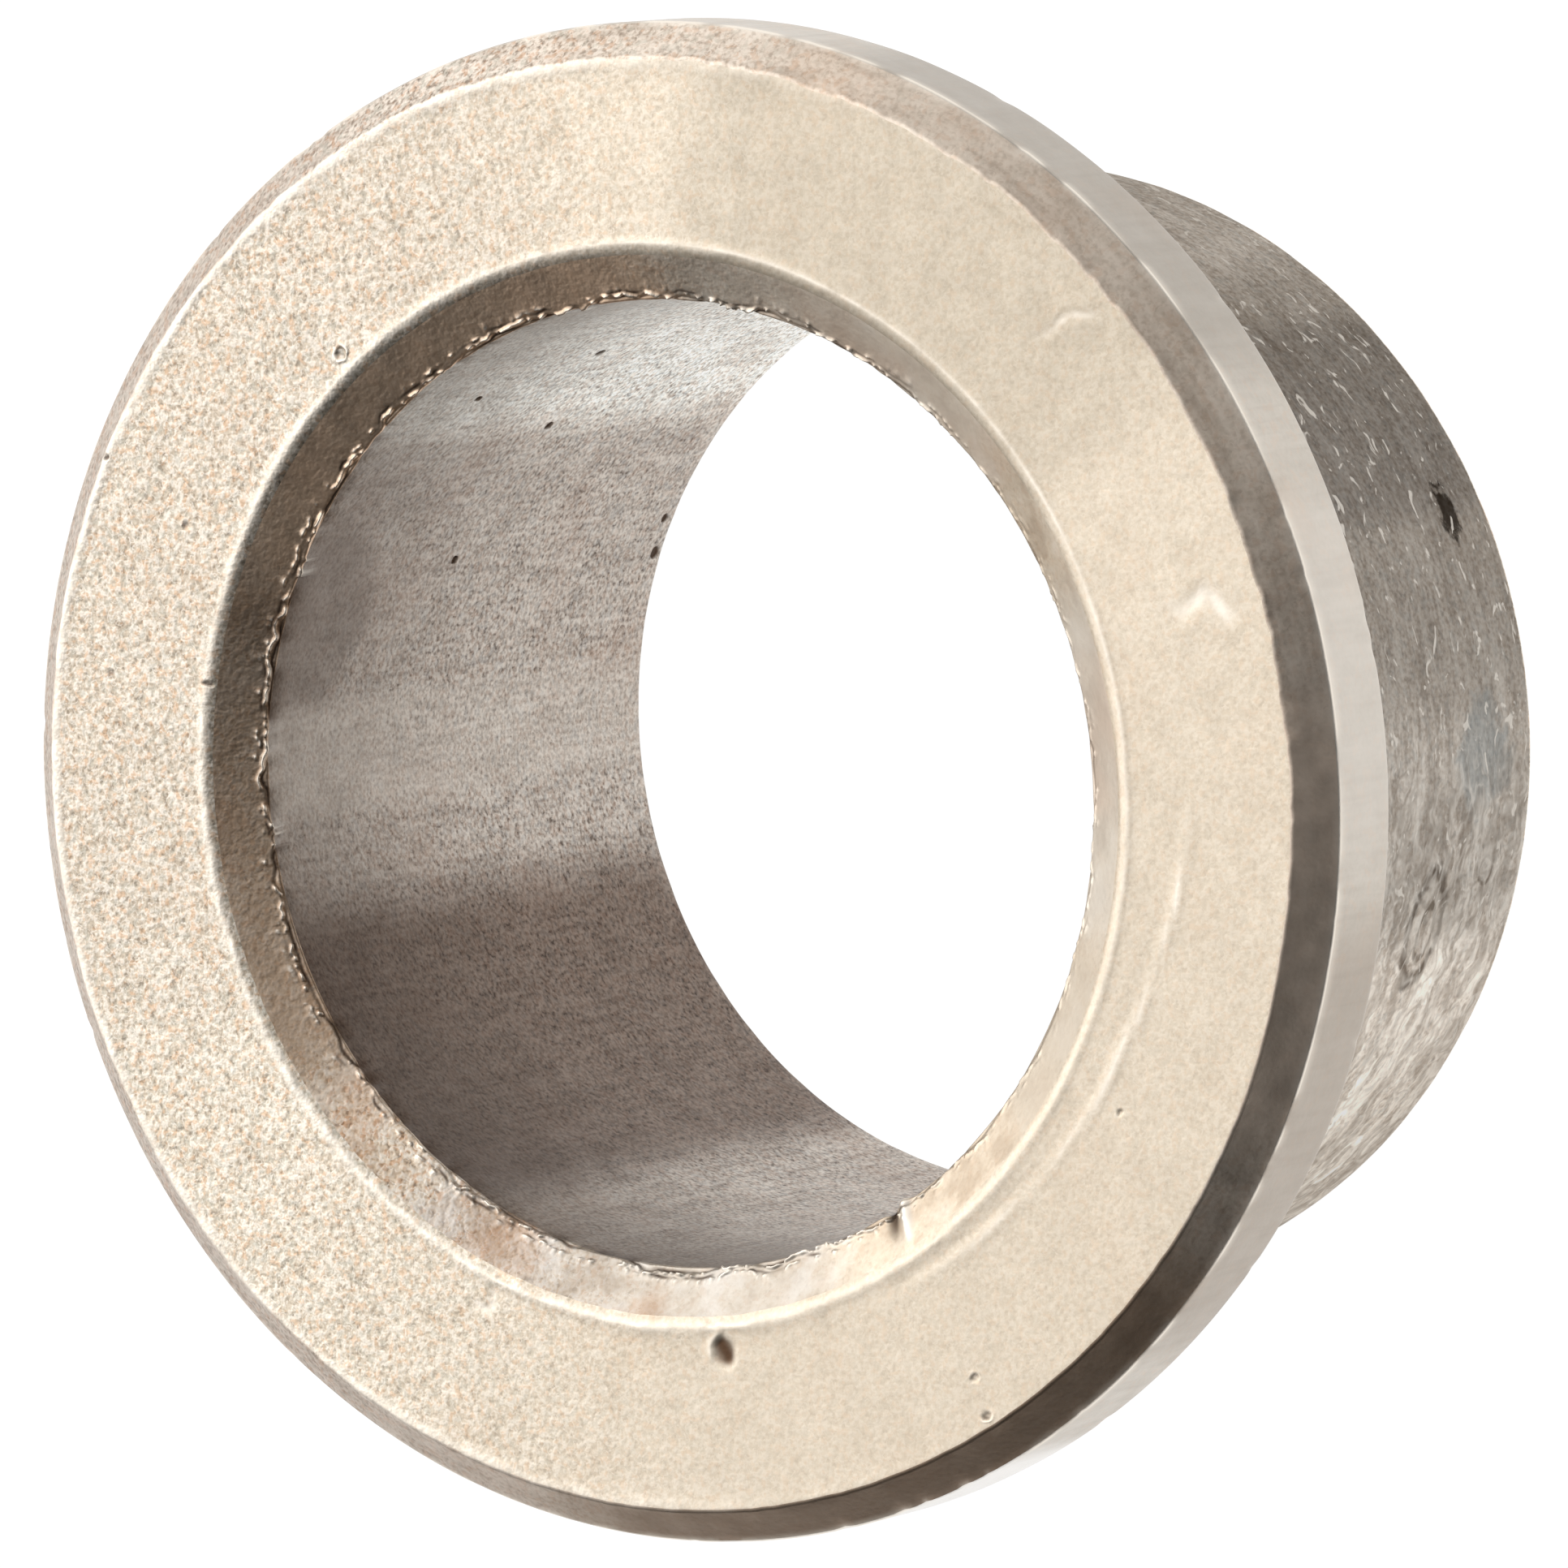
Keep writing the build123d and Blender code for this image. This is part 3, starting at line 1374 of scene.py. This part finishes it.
        # The noise stays mostly between 0.3 and 0.7, so a coat that starts near 0.5 covers half the grains.
        for coat in (
            Coat(fine, 0.49, 0.38, self.grain_share, self.shade),
            Coat(fine, 0.51, 0.62, self.grain_share, self.light),
            Coat(kind, 0.56, 0.64, self.fleck_share, self.warm),
            Coat(kind, 0.44, 0.36, self.fleck_share, self.cool),
            Coat(joint, 0.035, 0.01, self.worm_share, self.light),
            Coat(fine, 0.35, 0.28, self.pore_share, self.grime_and_shade),
        ):
            colour = coat.over(nodes, colour)
        height = nodes.add("Math", {0: kind, 1: 0.8, 2: fine}, operation="MULTIPLY_ADD")
        if self.calm:
            coat = self.calm.coat(nodes, place)
            colour = coat.over(nodes, colour)
            sockets = {FACTOR: coat.mask(nodes), VALUE_UNDER: height, VALUE_OVER: LEVEL_GRAIN}
            height = nodes.add("Mix", sockets, data_type="FLOAT")
        return colour, height

    def wiped(self, nodes: Nodes, place: bpy.types.NodeSocket) -> list[Coat]:
        """Lists the coats that pressing and sizing leave: streaks and soft patches.

        Args:
            nodes: the tree that is being filled.
            place: the part's own coordinates, in millimetres.

        Returns:
            The coats, lowest first.
        """
        drawn = nodes.add("VectorMath", {0: place, 1: self.streaks.value}, operation="MULTIPLY")
        lines = nodes.add("TexNoise", {"Vector": drawn, "Scale": 1 / self.streak, "Detail": 3.0})
        patches = nodes.add("TexNoise", {"Vector": place, "Scale": 0.9, "Detail": 3.0})
        clouds = nodes.add("TexNoise", {"Vector": place, "Scale": 0.3, "Detail": 2.0})
        return [
            Coat(lines, 0.5, 0.7, self.streak_share, self.light),
            Coat(lines, 0.5, 0.3, self.streak_share, self.shade),
            Coat(patches, 0.5, 0.36, self.mottle_share, self.shade),
            Coat(patches, 0.52, 0.66, self.mottle_share, self.light),
            Coat(clouds, 0.5, 0.7, self.mottle_share, self.warm),
        ]

    def handled(self, nodes: Nodes, place: bpy.types.NodeSocket) -> list[Coat]:
        """Lists the coats laid over the grain: painted shade towards the bore's mouth, smudges and rub marks
        that handling leaves, patches of painted shadow and painted highlight, painted light and shade on the
        sides of each ring, pale paint for bare metal and painted highlights, and dark paint for oil, dust and
        painted shade.

        Args:
            nodes: the tree that is being filled.
            place: the part's own coordinates, in millimetres.

        Returns:
            The coats, lowest first.
        """
        coats = []
        # Painted shade, darker towards the bore's mouth.
        if self.mouth_shade:
            height = nodes.add("SeparateXYZ", {0: place}, "Z")
            coats.append(Coat(height, SHADE_FROM, SHADE_TO, self.mouth_shade, self.shade))
        # Smudges, and patches of painted shadow and painted highlight.
        coats += [patch.coat(nodes, place) for patch in self.stains_and_painted_light]
        if self.rubs:
            coats += self.rubs.curls(nodes, place, self.light, self.shade)
        # Painted light and shade on the sides of each ring.
        coats += [band.coat(nodes, place) for band in self.light_and_shade_bands]
        if self.rubs:
            coats.append(self.rubs.ticks(nodes, place, self.light))
        # Pale paint for bare metal and painted highlights, dark paint for oil, dust, painted shade and
        # painted shadows.
        bright = nodes.add("Attribute", give="Fac", attribute_name=BRIGHT)
        dark = nodes.add("Attribute", give="Fac", attribute_name=DARK)
        return coats + [Coat(bright, 0.0, 1.0, 1.0, self.bare), Coat(dark, 0.0, 1.0, 1.0, self.grime_and_shade)]

    def shaded(
        self,
        nodes: Nodes,
        place: bpy.types.NodeSocket,
        colour: bpy.types.NodeSocket,
        height: bpy.types.NodeSocket,
    ) -> None:
        """Builds the metal's shader.

        Args:
            nodes: the material's tree.
            place: the part's own coordinates, in millimetres.
            colour: the metal's colour.
            height: the fine relief, from 0 to 1.
        """
        worn = nodes.add("TexNoise", {"Vector": place, "Scale": 1.4, "Detail": 4.0})
        low, high = self.roughness - self.roughness_swing, self.roughness + self.roughness_swing
        sockets = {"Value": worn, "From Min": 0.3, "From Max": 0.7, "To Min": low, "To Max": high}
        rough = nodes.add("MapRange", sockets)
        normal = nodes.add("Bump", {"Height": height, "Distance": self.relief * MM, "Strength": 1.0})
        sockets = {"Base Color": colour, "Roughness": rough, "Normal": normal, "Metallic": 1.0}
        shader = nodes.add("BsdfPrincipled", sockets | {"Specular Tint": self.grazing})
        nodes.add("OutputMaterial", {"Surface": shader})


FINISHES: dict[Zone, SinteredBronze] = {
    # Pressed by the punch's shoulder: matt and browner than the face, with rusty and pale blotches.
    Zone.MOUTH_CHAMFER: SinteredBronze(
        "sintered_bronze_mouth_chamfer",
        body="#E6D4BE",
        shade="#AD957C",
        warm="#CB9263",
        cool="#CDBFAE",
        grain_share=0.55,
        fleck_share=0.4,
        relief=0.016,
        mottle_share=0.35,
        calm=Band(105, 120, "#E0D1BC", 0.8),
        # Painted light and shade: each band makes one side of the chamfer lighter or darker.
        light_and_shade_bands=(
            Band(266, 38, "#AC937C", 0.7),
            Band(188, 34, "#E3E7EE", 1.0, Blend.DARKEN),
            Band(328, 40, "#FFE0C2", 0.8),
            Band(88, 24, "#E8E2D8", 0.5),
            Band(27, 28, "#EFE5D8", 0.45),
            Band(120, 12, "#D6CBBB", 0.6),
        ),
    ),
    # Left as the punch pressed it: pale cream and sparkling, with copper flecks and fine dark pores. One half
    # is burnished almost plain.
    Zone.THRUST_FACE: SinteredBronze(
        "sintered_bronze_as_pressed",
        warm="#E6BD97",
        shade="#BCAE9B",
        grime_and_shade="#574131",
        grain=0.12,
        fleck_share=0.45,
        grain_share=0.68,
        pore_share=0.35,
        mottle_share=0.04,
        calm=Band(95, 140, "#DBCDB9", 0.75),
        # Painted shade: darker on two sides of the face.
        light_and_shade_bands=(Band(32, 30, "#ECECEB", 1.0, Blend.DARKEN), Band(300, 62, "#F5F4F4", 1.0, Blend.DARKEN)),
    ),
    # Pressed by the die's shoulder: a satin, slightly browner ring with faint lines around it.
    Zone.FLANGE_CHAMFER: SinteredBronze(
        "sintered_bronze_die_chamfer",
        body="#D0C2B3",
        light="#ECE1D4",
        shade="#9C8B7B",
        warm="#CC9E78",
        streaks=Streaks.AROUND,
        streak_share=0.3,
        grain_share=0.8,
        relief=0.012,
        roughness=0.45,
        mottle_share=0.1,
        calm=Band(104, 132, "#CCBDAD", 0.75),
        # Painted light and shade: each band makes one side of the chamfer lighter or darker.
        light_and_shade_bands=(
            Band(101, 20, "#F0DCC9", 0.6),
            Band(160, 38, "#846E5A", 0.8),
            Band(215, 25, "#A39285", 0.4),
            Band(282, 58, "#A39285", 0.4),
        ),
    ),
    # Wiped by the die as the bushing was pushed out: smooth, silvery satin with faint lines along the axis.
    Zone.RIM: SinteredBronze(
        "sintered_bronze_die_wiped_rim",
        body="#CEC6BB",
        light="#DAD2C8",
        shade="#B9AFA4",
        streaks=Streaks.ALONG_AXIS,
        streak_share=0.3,
        grain_share=0.12,
        fleck_share=0.12,
        worm_share=0.0,
        pore_share=0.0,
        relief=0.003,
        roughness=0.42,
        # Painted light and shade: each band makes one side of the rim lighter or darker.
        light_and_shade_bands=(
            Band(38, 24, "#A49C92", 0.6),
            Band(119, 22, "#A39689", 0.55),
            Band(82, 16, "#DED7CE", 0.4),
            Band(164, 16, "#FFFDFA", 0.8),
        ),
    ),
    # Pressed by the lower punch and never rubbed: matt, even grain.
    Zone.SEAT: SinteredBronze("sintered_bronze_under_flange", relief=0.01),
    # Sized in the die and turned in it: grey satin with lines around it, oily smears and pale ticks.
    Zone.SLEEVE: SinteredBronze(
        "sintered_bronze_sized_sleeve",
        body="#BDB4AA",
        light="#E2DCD3",
        shade="#857B71",
        warm="#AC9D8D",
        cool="#9BA09F",
        streaks=Streaks.AROUND,
        streak=0.25,
        streak_share=0.32,
        grain_share=0.3,
        fleck_share=0.25,
        worm_share=0.15,
        pore_share=0.2,
        relief=0.006,
        roughness=0.45,
        grazing="#A8A29B",
        # Painted light and shade: each band makes one side of the sleeve lighter or darker.
        light_and_shade_bands=(
            Band(62, 30, "#DAD9D8", 1.0, Blend.DARKEN),
            Band(56, 14, "#DDDDDE", 1.0, Blend.DARKEN),
            Band(131.5, 26, "#A0A0A0", 1.0, Blend.BRIGHTEN),
        ),
        rubs=RubMarks(127, 44, 0.38),
        stains_and_painted_light=(
            StainOrPaintedLight(67.7, 13.49, -12.3, 0.8, 0.5, "#2F2B29", 0.85, ragged=1.8),
            StainOrPaintedLight(92.5, 13.49, -11.6, 1.7, 1.6, "#8E9698", 0.5, ragged=1.6),
            StainOrPaintedLight(109.0, 13.49, -9.8, 1.6, 0.9, "#453B33", 0.9, hollow=True, ragged=0.4),
            StainOrPaintedLight(109.5, 13.49, -9.9, 0.8, 0.4, "#594E43", 0.75, hollow=True, ragged=0.35),
            StainOrPaintedLight(104.0, 13.49, -12.3, 0.4, 0.35, "#5F5449", 0.7, hollow=True, ragged=0.5),
            StainOrPaintedLight(115.0, 13.49, -11.0, 0.9, 0.4, "#F0EBE2", 0.55, ragged=2.0),
            StainOrPaintedLight(128.0, 13.49, -10.0, 1.3, 0.35, "#F0EBE2", 0.6, ragged=2.2),
            StainOrPaintedLight(139.0, 13.49, -12.2, 0.9, 0.5, "#F4EFE7", 0.8, hollow=True, ragged=0.8),
        ),
    ),
    # Pressed by the lower punch: the same matt, even grain as the seat.
    Zone.SLEEVE_END: SinteredBronze("sintered_bronze_sleeve_end", relief=0.01),
    # Wiped by the core rod: grey and smoother, with open pores and faint lines along the axis.
    Zone.BORE: SinteredBronze(
        "sintered_bronze_sized_bore",
        body="#B5A99E",
        light="#E6DED4",
        shade="#75695F",
        warm="#B08C74",
        cool="#9DA3A6",
        streaks=Streaks.ALONG_AXIS,
        streak=0.2,
        streak_share=0.22,
        grain=0.11,
        grain_share=0.5,
        fleck_share=0.25,
        worm_share=0.35,
        pore_share=0.7,
        relief=0.008,
        roughness=0.45,
        # Painted shade towards the mouth.
        mouth_shade=0.65,
        # Painted light and shade: each band makes one side of the bore lighter or darker.
        light_and_shade_bands=(
            Band(232, 27, "#ACA099", 1.0, Blend.DARKEN),
            Band(272, 8, "#DCD3C8", 0.2),
            Band(342, 34, "#ABB5BA", 1.0, Blend.BRIGHTEN),
        ),
        stains_and_painted_light=(
            # Painted shadow of the burr at the bore's mouth.
            StainOrPaintedLight(290.0, 11.11, 1.5, 3.0, 3.4, "#6F635A", 0.5, ragged=0.5),
            # Painted highlight where the far end of the bore catches the light.
            StainOrPaintedLight(347.0, 11.11, -11.5, 2.6, 4.0, "#FFF6E6", 0.4, ragged=0.5),
        ),
    ),
}


@dataclass
class FlangedBushing:
    """The one piece of the part: flange and sleeve, pressed and sintered together.

    Attributes:
        section: its half section.
        marks: what is pressed into it, in order.
        name: the piece's name.
    """

    section: WallSection
    marks: list[Mark]
    name: str = "bronze_bushing"

    @classmethod
    def from_frame(cls) -> "FlangedBushing":
        """Takes the sizes from the frame and lists the marks that this bushing carries.

        Returns:
            The bushing, not yet built.
        """
        section = WallSection.from_frame()
        marks = [FaceSwell(), *cls.die_marks(section), *cls.holes(), *cls.knocks(section)]
        return cls(section, marks)

    @staticmethod
    def die_marks(section: WallSection) -> list[Mark]:
        """Lists what the punch, the die and the core rod leave along the edges of the thrust face.

        Args:
            section: the half section of the bushing.

        Returns:
            The marks in the order they are pressed.
        """
        mouth, face, top = section.mouth_edge_r, section.face_edge_r, section.thrust_z
        return [
            # The lips are painted pale, as bare metal and painted highlights.
            # Radius, width, height, boldest clock angle, faintest strength, knots, seed.
            RolledLip(face - 0.1, 0.15, 0.028, 275, 0.05, 130, 11),
            RolledLip(mouth + 0.1, 0.14, 0.03, 262, 0.3, 110, 21),
            RolledLip(mouth + 0.02, 0.24, 0.016, 160, 0.0, 140, 24, shine=0.3),
            # A thin raised line along the mouth chamfer's edge, painted pale as a highlight.
            RolledLip(mouth + 0.16, 0.07, 0.016, 25, 0.0, 90, 27, shine=0.7),
            # Radius, height, swing, boldest clock angle, seed.
            RaggedEdge(face, top, 0.08, 35, 15),
            RaggedEdge(mouth, top, 0.08, 200, 17),
            PunchStep(),
            BurrLine(),
            Flake(),
        ]

    @staticmethod
    def holes() -> list[Mark]:
        """Lists the chips and pores in the thrust face and the bore wall.

        Returns:
            The marks in the order they are pressed.
        """
        return [
            # Clock angle, radius, half size around and across, depth, seed.
            Pit(174.8, 12.93, 0.36, 0.45, 0.045, 71, darkening=0.95),
            Pit(281.3, 12.35, 0.07, 0.28, 0.06, 72, lip=0.0),
            Pit(321.7, 12.85, 0.15, 0.2, 0.04, 73, darkening=0.3, lip=0.9),
            Pit(149.6, 15.5, 0.12, 0.1, 0.03, 74, darkening=0.4),
            Pit(150.4, 16.4, 0.15, 0.1, 0.03, 75, darkening=0.6),
            Pit(280.2, 15.06, 0.12, 0.12, 0.03, 76, darkening=0.4),
            Pit(296.0, 13.97, 0.14, 0.1, 0.03, 77, darkening=0.5),
            Pit(297.9, 16.6, 0.1, 0.09, 0.05, 78),
            Pit(121.4, 13.97, 0.1, 0.08, 0.03, 79, darkening=0.5),
            # Clock angle, height, size.
            OpenPore(329.9, -4.2, 0.14),
            OpenPore(315.0, -5.4, 0.13),
            OpenPore(295.4, -4.4, 0.11),
            OpenPore(292.7, -13.7, 0.17),
            OpenPore(297.5, -13.6, 0.13),
            OpenPore(322.0, -0.8, 0.1),
        ]

    @staticmethod
    def knocks(section: WallSection) -> list[Mark]:
        """Lists the scratches, nicks and rubbed corners that handling leaves.

        Args:
            section: the half section of the bushing.

        Returns:
            The marks in the order they are pressed.
        """
        chamfer_edge = section.thrust_z - section.flange_chamfer
        sleeve_lead, bore_lead = section.end_z + section.sleeve_lead, section.end_z + section.bore_lead
        return [
            # Clock angle and radius of both ends, width, depth, shine.
            Scratch((73.0, 14.3), (75.5, 16.1), 0.26, 0.009, 0.9),
            Scratch((46.0, 14.6), (49.0, 16.4), 0.12, 0.006, 0.6),
            Scratch((202.0, 12.6), (204.5, 13.4), 0.17, 0.01, 0.8),
            # Radius, height, count, size, depth, seed.
            EdgeNicks(section.flange_r, chamfer_edge, 26, 0.12, 0.035, 81),
            EdgeNicks(section.flange_r, section.rim_break, 14, 0.2, 0.03, 82),
            # Radius, height, width, strength, knots, seed.
            EdgeWear(section.flange_r, chamfer_edge, 0.07, 0.9, 160, 91, darkening=0.6, dirt_side=0.09),
            EdgeWear(section.flange_r, section.rim_break, 0.1, 0.3, 90, 92),
            EdgeWear(section.sleeve_r, sleeve_lead, 0.1, 0.2, 120, 93),
            EdgeWear(section.bore_r, bore_lead, 0.08, 0.3, 150, 94),
        ]

    def build(self) -> bpy.types.Object:
        """Turns the section into a closed mesh, refines it at the marks, presses them in and dresses it.

        Returns:
            The finished piece.
        """
        mesh = bpy.data.meshes.new(self.name)
        work = self.turned()
        self.refine(work)
        work.to_mesh(mesh)
        work.free()
        self.press_marks(mesh)
        for zone in Zone:
            mesh.materials.append(FINISHES[zone].material())
        mesh.shade_smooth()
        piece = bpy.data.objects.new(self.name, mesh)
        bpy.context.scene.collection.objects.link(piece)
        return piece

    def turned(self) -> bmesh.types.BMesh:
        """Turns the half section around the bore axis into a closed skin of quads.

        Returns:
            The skin, in millimetres.
        """
        rings = self.section.rings()
        work = bmesh.new()
        grid = []
        for radius, height, _ in rings:
            clocks = (360 * step / STEPS_AROUND for step in range(STEPS_AROUND))
            grid.append([work.verts.new(clock_point(clock, radius, height)) for clock in clocks])
        for i, (_, _, zone) in enumerate(rings):
            lower, upper = grid[i], grid[(i + 1) % len(grid)]
            for j in range(STEPS_AROUND):
                k = (j + 1) % STEPS_AROUND
                face = work.faces.new((lower[j], lower[k], upper[k], upper[j]))
                face.material_index = zone.value
        work.normal_update()
        bmesh.ops.recalc_face_normals(work, faces=work.faces)
        return work

    def refine(self, work: bmesh.types.BMesh) -> None:
        """Halves the faces under each mark that needs a finer mesh.

        Args:
            work: the skin, in millimetres.
        """
        for step in range(max(mark.halvings for mark in self.marks)):
            centres = np.array([face.calc_center_median() for face in work.faces])
            covered = np.zeros(len(centres), bool)
            for mark in self.marks:
                if mark.halvings > step:
                    covered |= mark.covers(centres, self.section, step)
            faces = [face for face, inside in zip(work.faces, covered) if inside]
            edges = list({edge for face in faces for edge in face.edges})
            bmesh.ops.subdivide_edges(work, edges=edges, cuts=1, use_grid_fill=True)

    def press_marks(self, mesh: bpy.types.Mesh) -> None:
        """Presses every mark into the mesh and stores where it is bright and dark.

        Args:
            mesh: the piece's mesh, still in millimetres.
        """
        count = len(mesh.vertices)
        points, normals = np.empty(count * 3), np.empty(count * 3)
        mesh.vertices.foreach_get("co", points)
        mesh.vertices.foreach_get("normal", normals)
        skin = Skin(self.section, points.reshape(-1, 3), normals.reshape(-1, 3))
        for mark in self.marks:
            mark.press(skin)
        mesh.vertices.foreach_set("co", ((skin.points + skin.shift) * MM).ravel())
        for name, values in ((BRIGHT, skin.bright), (DARK, skin.dark)):
            mesh.attributes.new(name, "FLOAT", "POINT").data.foreach_set("value", values)
        mesh.update()


@dataclass(frozen=True)
class SoftWindow:
    """A wide soft light in the walls of the studio, with faded edges.

    Attributes:
        azimuth: where its middle is, in degrees from +X towards +Y.
        elevation: how far its middle is above the floor, in degrees.
        edge: cosine of the angle from its middle at which it ends.
        full: cosine of the angle from its middle within which it is full; one over 1 never gets there.
        brightness: how bright the full part is, where a white floor is 1.
    """

    azimuth: float
    elevation: float
    edge: float
    full: float
    brightness: float

    def glow(self, nodes: Nodes, way: bpy.types.NodeSocket) -> bpy.types.NodeSocket:
        """Gives how bright the window is in the direction that a ray goes.

        Args:
            nodes: the tree that is being filled.
            way: the direction that a ray goes.

        Returns:
            The brightness in that direction.
        """
        turn, rise = math.radians(self.azimuth), math.radians(self.elevation)
        middle = (math.cos(rise) * math.cos(turn), math.cos(rise) * math.sin(turn), math.sin(rise))
        near = nodes.add("VectorMath", {0: way, 1: middle}, "Value", operation="DOT_PRODUCT")
        sockets = {"Value": near, "From Min": self.edge, "From Max": self.full, "To Max": self.brightness}
        return nodes.add("MapRange", sockets, interpolation_type="SMOOTHSTEP")


@dataclass(frozen=True)
class SoftBox:
    """A square soft light on a stand, turned to the part.

    Attributes:
        name: the light's name.
        towards: the direction in which the part sees it.
        distance: how far it is from the part, in metres.
        side: length of its sides, in metres.
        brightness: how bright it is, where a white floor is 1.
    """

    name: str
    towards: tuple[float, float, float]
    distance: float
    side: float
    brightness: float

    def build(self) -> bpy.types.Object:
        """Makes the light and turns it to the part.

        Returns:
            The light.
        """
        data = bpy.data.lights.new(self.name, "AREA")
        data.size = self.side
        data.energy = self.brightness * math.pi * self.side**2
        light = bpy.data.objects.new(self.name, data)
        way = Vector(self.towards).normalized()
        light.location = way * self.distance
        light.rotation_euler = way.to_track_quat("Z", "Y").to_euler()
        bpy.context.scene.collection.objects.link(light)
        return light


@dataclass
class Studio:
    """A pale floor under the sleeve, soft lights and the camera.

    Attributes:
        section: the half section of the bushing.
        azimuth: where the camera stands, in degrees from -Y towards +X.
        elevation: how high it stands, in degrees above the floor.
        distance: how far it is from its aim, in millimetres.
        aim_right: how far right of the thrust face's middle it aims, in millimetres.
        aim_up: how far above that middle it aims, in millimetres.
        lens: its focal length, in millimetres.
        sensor: its sensor's width, in millimetres.
        floor_size: length of the floor's sides, in metres.
        floor_gap: how far under the sleeve's end the floor lies, in millimetres.
        floor_colour: the floor's colour for the light that falls on it.
        floor_glow: the light it sends out, which keeps it as pale as the room.
        surround: how bright the room is to the part, where it is 1 to the camera.
        floor_roughness: the floor's roughness.
        key: the light that gives the crisp highlights.
        windows: the wide soft lights.
    """

    section: WallSection
    azimuth: float = 8.01
    elevation: float = 58.19
    distance: float = 285.97
    aim_right: float = 2.98
    aim_up: float = 0.09
    lens: float = 287.6
    sensor: float = 36.0
    floor_size: float = 3.0
    floor_gap: float = 0.05
    floor_colour: str = "#404040"
    floor_glow: float = 1.0
    surround: float = 0.03
    floor_roughness: float = 0.9
    key: SoftBox = SoftBox("key", towards=(0.1, 0.55, 0.8), distance=0.45, side=0.2, brightness=0.8)
    windows: tuple[SoftWindow, ...] = (
        SoftWindow(azimuth=66, elevation=22, edge=0.19, full=1.43, brightness=2.8),
        SoftWindow(azimuth=-9, elevation=50, edge=0.64, full=0.74, brightness=0.6),
    )

    def build(self) -> None:
        """Sets up everything around the part."""
        bpy.context.scene.view_settings.view_transform = "Standard"
        self.floor()
        self.world()
        self.camera()
        self.key.build()

    def floor(self) -> None:
        """Lays a plain pale floor just under the sleeve's end."""
        work = bmesh.new()
        bmesh.ops.create_grid(work, x_segments=1, y_segments=1, size=self.floor_size / 2)
        bmesh.ops.translate(work, verts=work.verts, vec=(0, 0, (self.section.end_z - self.floor_gap) * MM))
        mesh = bpy.data.meshes.new("floor")
        work.to_mesh(mesh)
        work.free()
        made = bpy.data.materials.new("pale_floor")
        made.use_nodes = True
        made.node_tree.nodes.clear()
        nodes = Nodes(made.node_tree)
        sockets = {"Base Color": self.floor_colour, "Roughness": self.floor_roughness}
        sockets |= {"Emission Color": "#FFFFFF", "Emission Strength": self.floor_glow}
        nodes.add("OutputMaterial", {"Surface": nodes.add("BsdfPrincipled", sockets)})
        mesh.materials.append(made)
        floor = bpy.data.objects.new("floor", mesh)
        bpy.context.scene.collection.objects.link(floor)

    def world(self) -> None:
        """Fills the room with a dim grey that only the camera sees as white."""
        world = bpy.data.worlds.new("studio")
        world.use_nodes = True
        world.node_tree.nodes.clear()
        nodes = Nodes(world.node_tree)
        way = nodes.add("TexCoord", give="Generated")
        strength = nodes.add("LightPath", give="Is Camera Ray")
        strength = nodes.add("Math", {0: strength, 1: self.surround}, operation="MAXIMUM")
        for window in self.windows:
            strength = nodes.add("Math", {0: strength, 1: window.glow(nodes, way)}, operation="ADD")
        glow = nodes.add("Background", {"Color": "#FFFFFF", "Strength": strength})
        nodes.add("OutputWorld", {"Surface": glow})
        bpy.context.scene.world = world

    def camera(self) -> None:
        """Stands the camera over the thrust face, rolled so that the sleeve points to the right."""
        turn, rise = math.radians(self.azimuth), math.radians(self.elevation)
        back = Vector((math.sin(turn) * math.cos(rise), -math.cos(turn) * math.cos(rise), math.sin(rise)))
        up = Vector((0, 1, 0)).cross(back).normalized()
        right = up.cross(back)
        data = bpy.data.cameras.new("camera")
        data.lens, data.sensor_width = self.lens, self.sensor
        camera = bpy.data.objects.new("camera", data)
        aim = Vector((0, 0, self.section.thrust_z)) + right * self.aim_right + up * self.aim_up
        place = (aim + back * self.distance) * MM
        camera.matrix_world = Matrix.Translation(place) @ Matrix((right, up, back)).transposed().to_4x4()
        bpy.context.scene.collection.objects.link(camera)
        bpy.context.scene.camera = camera


def main() -> None:
    """Builds the bushing and the studio around it."""
    logging.basicConfig(level=logging.INFO, format="%(name)s: %(message)s")
    bushing = FlangedBushing.from_frame()
    piece = bushing.build()
    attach(piece, BODY)
    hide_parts(NODE)
    log.info("%s: %d faces, %d marks", piece.name, len(piece.data.polygons), len(bushing.marks))
    Studio(bushing.section).build()
    log.info("studio: floor, camera and lights are set")


if __name__ == "__main__":
    main()
